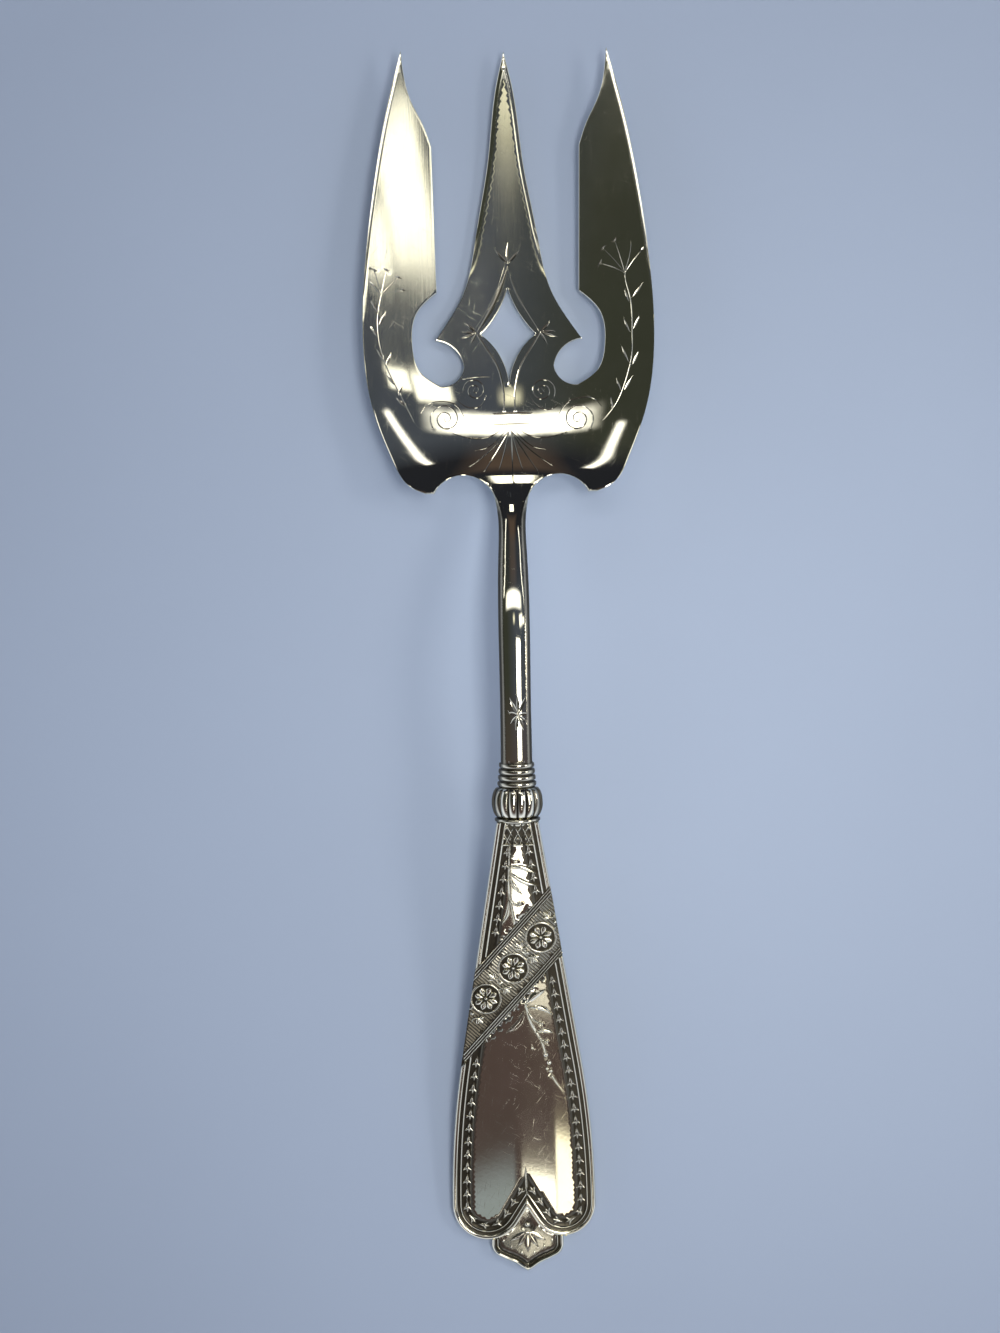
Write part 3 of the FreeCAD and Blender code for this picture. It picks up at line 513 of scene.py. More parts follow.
def engraving():
    """Bright-cut lines of the head: nodes with petals, stems, spirals, scrolls, fan and sprays."""
    cuts = []

    def cut(points, width, slope=0.5, taper=(0.25, 1.0, 0.85, 0.2)):
        cuts.append(Stroke(points, [width / 2 * t for t in taper], slope, "cut", step=0.3))

    def leaf(root, tip, width, slope=0.5, taper=(0.2, 1, 1, 0.2)):
        cut([root, ((root[0] + tip[0]) / 2, (root[1] + tip[1]) / 2), tip], width, slope, taper)

    def spiral(centre, start, turns, radius, way, width=0.2):
        points = []
        for k in range(int(turns * 14) + 1):
            share = k / (turns * 14)
            w = start + way * share * turns * 2 * math.pi
            r = radius * (0.06 + 0.94 * share)
            points.append((centre[0] + r * math.cos(w), centre[1] + r * math.sin(w)))
        cut(points, width, taper=(0.6, 1, 1, 0.8))

    for s in (1, -1):
        wide = 0.95 if s < 0 else 0.34
        cut([(0.1, 188.6), (1.1 * s, 184.9), (3.3 * s, 180.3), (5.85 * s, 176.3)], wide)
        if s < 0:
            cut([(-0.6, 188.4), (-2.0, 184.2), (-4.2, 180.0), (-6.2, 176.9)], 0.25)
        cut([(5.8 * s, 175.8), (4.05 * s, 173.0), (2.2 * s, 169.9), (1.35 * s, 166.8),
             (1.0 * s, 164.3), (1.05 * s, 161.6)], 0.36, taper=(0.8, 1, 1, 0.8))
        node = (6.0 * s, 176.1)
        for x, u, width in ((7.7, 177.8, 0.5), (8.4, 176.3, 0.5), (8.9, 175.2, 0.45), (7.1, 174.2, 0.45)):
            leaf(node, (x * s, u), width)
        cut([(0.9 * s, 157.6), (2.6 * s, 155.8), (4.6 * s, 154.4), (6.4 * s, 154.0)], 0.22)
        cut([(1.0 * s, 158.6), (3.0 * s, 157.0), (7.0 * s, 156.3), (10.5 * s, 157.2)], 0.18)
        for tip in ((2.2, 150.2), (4.9, 150.0), (7.6, 150.9)):
            cut([(0.25 * s, 157.6), (tip[0] * 0.45 * s, 154.2), (tip[0] * s, tip[1])], 0.24)
    cut([(0.2, 158.3), (0.3, 153), (0.35, 147.9)], 0.24)
    for tip in ((0.16, 192.7), (-2.2, 191.7), (2.2, 191.4)):
        cut([(0.12, 189.2), (tip[0] * 0.55, (tip[1] + 189.2) / 2), tip], 0.6, taper=(0.25, 1, 0.9, 0.15))
    cut([(-3.0, 160.9), (0.4, 160.95), (3.9, 160.9)], 0.5, taper=(0.5, 1, 1, 0.5))
    cut([(-3.0, 158.9), (0.4, 158.95), (3.6, 158.9)], 0.26, taper=(0.5, 1, 1, 0.5))
    spiral((-6.5, 165.4), 2.6, 2.1, 2.2, 1)
    spiral((6.2, 165.1), 0.5, 2.2, 2.45, -1)
    spiral((12.7, 159.6), 0.3, 2.2, 3.0, -1)
    spiral((-12.0, 160.0), 2.8, 2.2, 3.0, 1)
    cut([(-8.6, 167.55), (-6.0, 167.9), (-3.5, 167.9)], 0.18)
    cut([(-4.4, 164.4), (-5.4, 162.5), (-7.9, 162.2), (-9.9, 163.6)], 0.2)
    cut([(3.9, 164.2), (5.4, 162.1), (7.5, 161.5), (9.3, 162.4)], 0.2)
    cut([(9.1, 160.4), (10.6, 162.6), (13.0, 163.5), (15.8, 163.2), (17.0, 161.8)], 0.2)
    cut([(-8.6, 160.4), (-10.0, 162.6), (-12.6, 163.3), (-15.4, 162.6), (-16.6, 161.0)], 0.2)
    # Spray and leaves down the left tine
    node = (-23.5, 183.1)
    for tip in ((-24.7, 187.6), (-22.5, 187.7), (-20.3, 186.4), (-19.6, 184.1)):
        leaf(node, tip, 0.16, taper=(0.25, 1.0, 0.85, 0.2))
        cut([(tip[0] - 0.2, tip[1] + 0.1), tip, (tip[0] + 0.2, tip[1] - 0.1)], 0.5, taper=(0.5, 1, 1, 0.5))
    cut([node, (-24.6, 184.4), (-25.7, 185.5)], 0.4)
    cut([node, (-24.2, 179), (-24.0, 174.5), (-22.9, 170.0), (-20.9, 165.6), (-18.0, 159.7)], 0.18)
    for root, tip in (
        ((-25.4, 181.8), (-24.1, 179.7)), ((-25.3, 176.6), (-24.3, 175.2)), ((-22.8, 179.6), (-23.9, 177.6)),
        ((-24.4, 172.6), (-23.3, 170.9)), ((-21.9, 172.0), (-22.9, 169.8)), ((-22.6, 167.9), (-21.2, 166.2)),
        ((-19.9, 166.2), (-20.7, 164.6)), ((-20.9, 163.6), (-19.4, 162.4)),
    ):
        leaf(root, tip, 0.42)
    # Stem, leaves and stamens up the right tine
    cut([(23.1, 191.7), (22.7, 189.3), (21.9, 186.3), (22.6, 182.5), (23.0, 175.4), (22.9, 171.6),
         (21.6, 166.2), (19.4, 161.5), (17.6, 159.4)], 0.2)
    for root, tip in (
        ((24.9, 184.0), (23.3, 181.9)), ((21.8, 183.2), (22.4, 181.2)), ((21.6, 177.7), (22.5, 175.5)),
        ((24.3, 178.0), (23.3, 176.0)), ((21.1, 172.6), (22.2, 169.9)), ((24.0, 171.4), (23.0, 169.3)),
        ((20.0, 166.6), (20.7, 164.6)), ((22.6, 166.6), (21.4, 164.6)), ((18.9, 162.9), (19.2, 161.2)),
    ):
        leaf(root, tip, 0.36)
    for tip in ((20.1, 192.6), (17.9, 191.3), (17.3, 188.5), (25.2, 190.6)):
        cut([(21.9, 186.4), ((21.9 + tip[0]) / 2, (186.8 + tip[1]) / 2), tip], 0.12)
        cut([(tip[0] - 0.15, tip[1] - 0.2), tip, (tip[0] + 0.15, tip[1] + 0.2)], 0.42, taper=(0.5, 1, 1, 0.5))
    # Small flower on the shaft
    for tip in ((-0.95, 107.3), (0.4, 107.9), (1.7, 107.6), (-1.2, 105.1), (-0.85, 103.2), (0.0, 102.0),
                (1.4, 102.0), (2.0, 104.9), (1.9, 103.3)):
        leaf((0.42, 104.6), tip, 0.62, 0.6, (0.2, 0.8, 1, 0.3))
    return cuts


def build_head(settings):
    """Head and shaft in one piece, with edges rounded, tines bevelled and lines engraved."""
    outer, diamond = head_outline(HEAD_STEP)
    cuts = engraving()
    rows = [row for c in cuts for row in c.rows(skirt=0.1)]
    for k in range(-7, 8):
        x = 0.35 * k
        rows.append(spaced([(x, COLLAR_HEAD - 0.9), (x, NECK + 1.0)], HEAD_GRID))
    shaft_edge, head_edge, neck_run = 0.9, 0.12, 4.0
    bevel_fall, bevel_inside, bevel_outside = 0.35, 0.85, 0.45

    def top(p, gap):
        u = p[:, 1]
        across = np.abs(p[:, 0])
        edge = np.where(u < NECK, shaft_edge, head_edge)
        passing = (u >= NECK) & (u < NECK + neck_run)
        edge = np.where(passing, shaft_edge - (shaft_edge - head_edge) * (u - NECK) / neck_run, edge)
        z = head_top(p) - rounded(gap, edge)
        # Bevels along the middle tine and the outer edges of the others
        outward = np.clip((across - 18.0) / 3.0, 0, 1)
        middle = np.clip((u - 186) / 10, 0, 1) * (across < 9)
        share = np.clip(middle + outward * np.clip((u - 178) / 14, 0, 1), 0, 1)
        width = np.where(outward > 0, bevel_outside, bevel_inside)
        z = z - bevel_fall * share * width / bevel_inside * np.clip(1 - gap / width, 0, 1)
        depth, _ = lifted(cuts, p, np.zeros(len(p)))
        # Tarnish lies in the cuts; down the sides of the shaft tarnish and painted shade darken the metal
        sides = 0.95 * np.clip(1.5 - gap / 0.8, 0, 1) * np.clip((NECK + 2 - u) / 4, 0, 1)
        return z + depth * settings.engraving_depth, np.maximum(np.clip(-depth * 8, 0, 1), sides)

    def bottom(p, gap):
        z = head_bottom(p)
        return z + rounded(gap, np.where(p[:, 1] < NECK, 0.9, 0.15)) * (z > 0)

    insets = (0.03, 0.08, 0.2, bevel_outside, bevel_inside)
    corners, faces, tarnish_and_shade = plate([outer, diamond], insets, rows, HEAD_GRID, top, bottom, (0.15, 0.5, 0.85))
    return made_object("fork_head", corners, faces, tarnish_and_shade, 24)


# Collar, with sizes as in the part's source
COLLAR_LENGTH = COLLAR_HEAD - COLLAR_FOOT
RING_RADIUS, RING_STEP, RING_COUNT, RING_GROWTH = 3.25, 1.15, 4, 0.11
KNOP_RADIUS, KNOP_LOBES, COLLAR_FLATNESS = 4.75, 16, 0.76
TOP_HALF = 3.85


def collar_stations():
    """Sections of the collar: place from the shaft, radius, depth of the flutes and tarnish."""
    knop_start, knop_end = RING_COUNT * RING_STEP, COLLAR_LENGTH - 0.75
    stations = [(-0.4, RING_RADIUS - 0.35, 0.0, 0.0)]
    ring = ((0.0, -0.38), (0.02, -0.2), (0.12, -0.06), (0.4, 0.0), (0.68, -0.06), (0.78, -0.2), (0.8, -0.38))
    for k in range(RING_COUNT):
        for t, dr in ring:
            place = 0.1 + (k + t) * RING_STEP
            stations.append((place, RING_RADIUS + RING_GROWTH * k + dr, 0.0, min(1.0, -dr * 11)))
    root = RING_RADIUS + 0.1
    for j in range(25):
        t = j / 24
        swell = math.sin(math.pi * t) ** 0.42
        place = knop_start + 0.05 + t * (knop_end - knop_start - 0.1)
        stations.append((place, root + (KNOP_RADIUS - root) * swell, 0.5 * swell, 0.0))
    lip = ((0.0, -0.5), (0.05, -0.2), (0.25, 0.0), (0.5, 0.05), (0.75, 0.0), (0.95, -0.2), (1.0, -0.5))
    for t, dr in lip:
        stations.append((knop_end + 0.75 * t, TOP_HALF + 0.3 + dr, 0.0, min(1.0, max(0.0, -dr * 4))))
    stations.append((COLLAR_LENGTH + 0.5, TOP_HALF - 0.6, 0.0, 0.0))
    return stations


def build_collar():
    """Rings and the lobed knop between shaft and handle."""
    around = 320
    w = np.linspace(0, 2 * math.pi, around, endpoint=False)
    wave = np.abs(np.cos(KNOP_LOBES * w / 2 + math.pi / 2))
    # Painted shade: the collar's sides and underside are darkened, more as the surface turns away from above
    side_shade = 0.9 * np.clip((0.76 - np.sin(w)) / 0.3, 0, 1)
    stations = collar_stations()
    corners, tarnish_and_shade = [], []
    for place, radius, depth, tarnish in stations:
        lobed = radius - depth * (1 - np.sqrt(wave) ** 1.2)
        corners.append(np.stack([np.full(around, place), lobed * np.cos(w),
                                 lobed * COLLAR_FLATNESS * np.sin(w)], 1))
        hollows = np.clip((0.7 - wave) / 0.4, 0, 1) if depth > 0 else tarnish
        tarnish_and_shade.append(np.maximum(side_shade, hollows))
    faces = []
    for j in range(len(stations) - 1):
        for k in range(around):
            m = (k + 1) % around
            faces.append(((j + 1) * around + k, (j + 1) * around + m, j * around + m, j * around + k))
    for j, way in ((0, -1), (len(stations) - 1, 1)):
        centre = sum(len(c) for c in corners)
        corners.append(np.array([(stations[j][0], 0.0, 0.0)]))
        tarnish_and_shade.append(np.zeros(1))
        for k in range(around):
            m = (k + 1) % around
            faces.append((centre, j * around + m, j * around + k)[::way])
    # The collar's axis drops from the shaft's middle to the handle's
    head_end, foot_end = float(shaft_line(COLLAR_HEAD)) - 2.1, 14.9 - 2.45
    drop = math.atan2(head_end - foot_end, COLLAR_LENGTH)
    a, y, z = np.concatenate(corners).T
    along, up = a * math.cos(drop) + z * math.sin(drop), -a * math.sin(drop) + z * math.cos(drop)
    placed = np.stack([y, COLLAR_HEAD - along, head_end + up], 1)
    return made_object("fork_collar", placed, faces, np.concatenate(tarnish_and_shade), 40)


# Handle outline, as in the part's source
WIDE, FOOT, LOBE, LONG = 13.4, 12.6, 6.3, 170.0
CUSP = (0.55, 12.0)


def tangent(point, centre, radius, turn):
    """Where a line from a point touches a circle, on the side that turn, 1 or -1, picks."""
    dx, du = centre[0] - point[0], centre[1] - point[1]
    far = math.hypot(dx, du)
    heading = math.atan2(du, dx) + turn * math.asin(radius / far)
    reach = math.sqrt(far * far - radius * radius)
    return (point[0] + reach * math.cos(heading), point[1] + reach * math.sin(heading))


def on_circle(centre, radius, angle):
    """Point of a circle at an angle in radians."""
    return (centre[0] + radius * math.cos(angle), centre[1] + radius * math.sin(angle))


def side_chain(s, step, beyond=0.0):
    """One side of the shield from its top down round the lobe to the cusp, and a little beyond."""
    long_centre = (s * (WIDE - LONG), FOOT)
    top = (s * TOP_HALF, COLLAR_FOOT)
    touch = tangent(top, long_centre, LONG, s)
    radius = LOBE * (WIDE - s * CUSP[0]) / WIDE
    centre = (s * (WIDE - radius), FOOT)
    leave = tangent(CUSP, centre, radius, -s)
    wide = (s * WIDE, FOOT)
    lean = math.atan2(touch[1] - FOOT, s * (touch[0] - long_centre[0])) / 2
    bow = on_circle(long_centre, LONG, lean if s > 0 else math.pi - lean)
    aim = math.atan2(leave[1] - centre[1], leave[0] - centre[0])
    sweep = (aim if s > 0 else -math.pi - aim) / 2
    base = on_circle(centre, radius, sweep if s > 0 else math.pi - sweep)
    parts = [spaced([top, touch], step), arc(touch, bow, wide, step), arc(wide, base, leave, step),
             spaced([leave, CUSP], step)]
    if beyond:
        dx, du = CUSP[0] - leave[0], CUSP[1] - leave[1]
        far = math.hypot(dx, du)
        end = (CUSP[0] + dx / far * beyond, CUSP[1] + du / far * beyond)
        parts.append(spaced([CUSP, end], step))
    return chained(parts)


def palmette_side(s, step):
    """One free side of the terminal from its point up to where it meets the lobe."""
    slope, corner, reach = math.radians(28.0), 2.5, 6.75
    mid = CUSP[0]
    run = reach - corner
    rise = run * math.tan(slope) + corner / math.cos(slope)
    centre = (mid + s * run, rise)
    touch = (centre[0] + s * corner * math.sin(slope), rise - corner * math.cos(slope))
    wide = (centre[0] + s * corner, rise)
    turn = (slope - math.pi / 2) / 2
    bulge = on_circle(centre, corner, turn if s > 0 else math.pi - turn)
    radius = LOBE * (WIDE - s * CUSP[0]) / WIDE
    lobe = (s * (WIDE - radius), FOOT)
    dx = wide[0] - lobe[0]
    meet = (wide[0], FOOT - math.sqrt(radius * radius - dx * dx))
    ogee = [(mid, 0.0), (mid + 0.95 * s, 0.52), (mid + 2.3 * s, 1.46), (mid + 3.8 * s, 2.12), touch]
    return chained([curve(ogee, step), arc(touch, bulge, wide, step), spaced([wide, meet], step)])


def handle_outline():
    """Closed outline of shield and palmette."""
    sides = []
    for s in (1, -1):
        chain, free = side_chain(s, HANDLE_STEP), palmette_side(s, HANDLE_STEP)
        gap = np.linalg.norm(chain - free[-1], axis=1)
        gap[chain[:, 1] > FOOT] = np.inf
        keep = chain[:gap.argmin()]
        keep = keep[np.linalg.norm(keep - free[-1], axis=1) > HANDLE_STEP * 0.3]
        sides.append(np.concatenate([keep, free[::-1]]))
    return np.concatenate([sides[0], sides[1][::-1][1:]])


# Slanted band: middle and slant, ends along it, half widths without and with its reeds
BAND_AT, TILT = (-1.25, 57.8), math.radians(47.9)
BAND_START, BAND_END = -19.0, 17.5
STRIP_HALF, REED_PITCH = 3.71, 0.45
OUTER_HALF = STRIP_HALF + 3 * REED_PITCH
MEDALLIONS = (-7.7, 0.0, 7.7)
BETWEEN = (-11.55, -3.85, 3.85, 11.55)
HATCH = 0.52
LATTICE_FOOT = COLLAR_FOOT - 4.0


def on_band(a, b):
    """Point a along the slanted band and b across it."""
    return (BAND_AT[0] + a * math.cos(TILT) - b * math.sin(TILT),
            BAND_AT[1] + a * math.sin(TILT) + b * math.cos(TILT))


def band_places(p):
    """How far points lie along the band and across it."""
    dx, du = p[:, 0] - BAND_AT[0], p[:, 1] - BAND_AT[1]
    return (dx * math.cos(TILT) + du * math.sin(TILT), du * math.cos(TILT) - dx * math.sin(TILT))


# Face and back of the handle, two long bends, as in the part's source
def bend_centre(low, high, radius):
    """Centre of the bend through two places (u, z)."""
    (u1, z1), (u2, z2) = low, high
    du, dz = u2 - u1, z2 - z1
    chord = math.hypot(du, dz)
    rise = math.sqrt(radius * radius - chord * chord / 4)
    return ((u1 + u2) / 2 - dz / chord * rise, (z1 + z2) / 2 + du / chord * rise)


BEND_R, BACK_R, CROWN_R = 470.0, 560.0, 125.0
BEND = bend_centre((0.0, 1.75), (COLLAR_FOOT, 14.9), BEND_R)
BACK = bend_centre((0.0, 1.75 - 1.9), (COLLAR_FOOT, 14.9 - 4.9), BACK_R)


def face_height(p, h):
    """Height of the crowned, bent face of the handle, raised by h."""
    ring = BEND_R + CROWN_R - np.sqrt((CROWN_R + h) ** 2 - p[:, 0] ** 2)
    return BEND[1] - np.sqrt(ring ** 2 - (p[:, 1] - BEND[0]) ** 2)


def back_height(p):
    """Height of the bent back of the handle."""
    return np.maximum(BACK[1] - np.sqrt(BACK_R ** 2 - (p[:, 1] - BACK[0]) ** 2), 0.0)


def half_round(t, middle, half):
    """Section of a round moulding: 1 at its middle, 0 beside it."""
    return np.sqrt(np.clip(1 - ((t - middle) / half) ** 2, 0, 1))


def rim_height(t):
    """Section of the rim from the edge inwards: moulding, groove, thin line, channel, panel."""
    rise = np.clip((t - 3.15) / 0.45, 0, 1)
    rims = np.maximum(0.5 * half_round(t, 0.47, 0.47), 0.36 * half_round(t, 1.6, 0.2))
    return np.maximum(rims, 0.28 * rise * rise * (3 - 2 * rise))


def dart(at, heading, scale):
    """Dart of the channel: a head, two swept wings and a tail."""
    back, front = on_circle(at, -0.4 * scale, heading), on_circle(at, 1.1 * scale, heading)
    parts = [petal(back, front, 0.68, 0.32, base=0.02, fullness=0.34)]
    for way in (1, -1):
        root, tip = on_circle(at, 0.05, heading), on_circle(at, 0.98 * scale, heading + way * 2.2)
        parts.append(petal(root, tip, 0.5, 0.3, base=0.02, fullness=0.36))
    tail = on_circle(at, 0.95 * scale, heading + math.pi)
    parts.append(petal(at, tail, 0.38, 0.26, base=0.02, fullness=0.5))
    return parts


def channel_darts(rng):
    """Row of darts along the channel, apart from the places of band, lattice and cusp."""
    depth, pitch = 2.75, 2.45
    darts = []
    for s in (1, -1):
        chain = side_chain(s, 0.1, beyond=4.6)
        path = chain - s * left_of(chain) * depth
        run = run_of(path)
        count = int(run[-1] / pitch)
        for k in range(1, count):
            at = run[-1] * k / count
            x, u = np.interp(at, run, path[:, 0]), np.interp(at, run, path[:, 1])
            x2, u2 = np.interp(at - 0.3, run, path[:, 0]), np.interp(at - 0.3, run, path[:, 1])
            across = band_places(np.array([(x, u)]))[1][0]
            if abs(across) < OUTER_HALF + 0.7 or u > LATTICE_FOOT - 1.1:
                continue
            if u < 25 and abs(x - CUSP[0]) < 0.7:
                continue
            darts += dart((x, u), math.atan2(u2 - u, x2 - x), rng.uniform(0.92, 1.06))
    return darts


def handle_features(rng):
    """Everything carved on the handle besides its rims: upper things first."""
    below, band, sprigs, fan, beads = [], [], [], [], []

    def leafy(root, tip, width, height=0.5, bow=0.0):
        sprigs.append(petal(root, tip, width, height, base=0.05, bow=bow, fullness=0.5))

    def stem(points, width, taper=(1.0, 1.0, 0.7)):
        sprigs.append(Stroke(points, [width / 2 * t for t in taper], 0.45, base=0.05, step=0.3))

    def round_bead(centre, radius, height, group=sprigs, base=0.05):
        group.append(bead(centre, radius, height, base))
        beads.append((centre, radius))

    # Upper sprig
    stem([(-1.52, 80.6), (-1.8, 76.2), (-1.7, 71.0), (-0.95, 66.9)], 0.42)
    leafy((-1.7, 76.9), (3.2, 75.5), 0.95, bow=0.08)
    leafy((-1.5, 75.8), (3.3, 73.3), 0.85, bow=-0.1)
    leafy((-1.55, 74.9), (0.4, 71.9), 0.7, bow=-0.08)
    round_bead((-0.5, 77.8), 0.36, 0.55)
    stem([(-1.75, 71.6), (-1.2, 70.1), (-0.3, 69.6)], 0.36)
    round_bead((0.1, 69.9), 0.34, 0.55)
    leafy((-1.9, 70.8), (-3.3, 66.0), 0.75, bow=0.1)
    # Lower sprig
    stem([(0.9, 51.1), (1.5, 48.4), (2.6, 45.9), (3.7, 43.9), (4.4, 41.6)], 0.4)
    leafy((0.9, 50.9), (4.5, 53.6), 1.25, bow=0.06)
    leafy((1.3, 50.3), (5.8, 48.9), 0.95, bow=0.12)
    stem([(1.5, 49.2), (2.4, 47.9), (3.5, 47.3)], 0.32)
    round_bead((3.75, 47.2), 0.34, 0.55)
    leafy((2.8, 45.6), (5.8, 45.5), 0.9, bow=0.1)
    stem([(3.1, 45.0), (3.8, 44.1), (4.5, 43.8)], 0.3)
    round_bead((4.65, 43.75), 0.34, 0.55)
    for x, u, radius in ((4.5, 41.2, 0.42), (5.1, 39.7, 0.42), (4.75, 38.6, 0.3), (5.4, 38.1, 0.34),
                         (2.05, 42.6, 0.28), (5.6, 37.1, 0.24)):
        round_bead((x, u), radius, 0.5)
    stem([(5.6, 37.2), (6.5, 35.7), (7.8, 34.0)], 0.26, taper=(1.0, 1.0, 0.3))
    leafy((0.6, 49.6), (-2.6, 45.7), 1.2, height=0.36, bow=0.12)
    # Spear above the cusp
    leafy((0.5, 14.4), (0.4, 19.6), 0.55, height=0.42)

    # Band: reeds, medallions, hearts and dots
    for s in (1, -1):
        for k in range(3):
            b = s * (STRIP_HALF + 0.05 + (k + 0.5) * REED_PITCH)
            line = spaced([on_band(BAND_START, b), on_band(BAND_END, b)], 0.5)
            band.append(Stroke(line, [0.125, 0.125], 0.26, base=0.02))
    for a in MEDALLIONS:
        c = on_band(a, 0)
        ring = np.array([on_circle(c, 2.74, turn) for turn in np.linspace(0, 2 * math.pi, 49)])
        band.append(Stroke(ring, [0.19, 0.19], 0.3, base=0.1))
        for j in range(8):
            turn = TILT + (j + 0.5) * math.pi / 4
            root, tip = on_circle(c, 0.42, turn), on_circle(c, 2.2, turn)
            band.append(petal(root, tip, 1.22, 0.5, base=0.02, fullness=0.66))
        round_bead(c, 0.34, 0.5, band)
    for a in BETWEEN:
        round_bead(on_band(a, rng.uniform(-0.1, 0.1)), 0.3, 0.42, band)
        for s in (1, -1):
            root = on_band(a, s * 1.15)
            for lean, far in ((-0.75, 1.35), (0.0, 1.6), (0.75, 1.35)):
                tip = on_circle(root, far, TILT + s * math.pi / 2 + lean)
                band.append(petal(root, tip, 0.75, 0.46, base=0.1, fullness=0.6))
            curl = [on_band(a, s * 1.2), on_band(a + 0.7 * s, s * 0.75), on_band(a + 1.3 * s, s * 1.0)]
            band.append(Stroke(curl, [0.16, 0.14, 0.08], 0.4, base=0.1))

    # Lattice panel under the collar
    for k in range(-3, 4):
        for s in (1, -1):
            a, b = (1.3 * k - s * 0.98, LATTICE_FOOT + 0.1), (1.3 * k + s * 0.98, COLLAR_FOOT)
            below.append(Stroke(spaced([a, b], 0.4), [0.13, 0.13], 0.34, base=0.05))
    for k in range(-3, 4):
        for row in (1.0, 2.95):
            centre = (1.3 * k + (0.65 if row > 2 else 0.0), LATTICE_FOOT + row)
            round_bead(centre, 0.2, 0.3, below)
    rule = spaced([(-3.6, LATTICE_FOOT - 0.2), (3.6, LATTICE_FOOT - 0.2)], 0.4)
    below.append(Stroke(rule, [0.2, 0.2], 0.46, base=0.05))

    darts = channel_darts(rng)

    # Palmette: bead, fan of petals and dots
    fan_root = (CUSP[0], CUSP[1] - 4.4)
    for turn, reach, wide in ((-90, 3.8, 1.3), (-123, 3.3, 1.1), (-57, 3.3, 1.1),
                              (-152, 3.6, 1.0), (-28, 3.6, 1.0)):
        w = math.radians(turn)
        root, tip = on_circle(fan_root, 0.35, w), on_circle(fan_root, reach, w)
        fan.append(petal(root, tip, wide, 0.3, base=0.16, fullness=0.45))
    round_bead((fan_root[0], fan_root[1] + 1.25), 0.5, 0.5, fan, 0.02)
    for turn, reach in ((-106, 4.3), (-74, 4.3), (-136, 4.3), (-44, 4.3), (-158, 4.9), (-22, 4.9)):
        round_bead(on_circle(fan_root, reach, math.radians(turn)), 0.27, 0.3, fan, 0.02)
    return below, darts, sprigs, band, fan, beads


# Distances from the edge where rows of points follow the rim of the shield and of the palmette
RIM_ROWS = (0.03, 0.1, 0.24, 0.47, 0.7, 0.84, 0.91, 0.94, 1.0, 1.36, 1.4, 1.43, 1.5, 1.6, 1.7, 1.77,
            1.8, 1.86, 2.5, 3.15, 3.3, 3.45, 3.6)
PALMETTE_ROWS = (0.03, 0.12, 0.36, 0.6, 0.69, 0.72, 0.8, 0.98, 1.02, 1.12, 1.22, 1.26)


def rows_beside(line, way, s, distances, edge_distance):
    """Rows of points inside an edge line of side s, where no other edge is nearer."""
    out = []
    for t in distances:
        row = line + way * left_of(line) * t
        fits = (np.abs(edge_distance(row) - t) < 0.05) & ((row[:, 0] - CUSP[0]) * s >= -0.02)
        for group in np.split(np.arange(len(row)), np.flatnonzero(~fits)):
            group = group[fits[group]]
            if len(group):
                out.append(row[group])
    return out


def lifted(items, p, h):
    """Heights with items raised on them or cut in, and the tarnish beside the items."""
    over, beside = h.copy(), np.zeros(len(p))
    for item in items:
        item.lift(p, over, beside)
    return over, beside


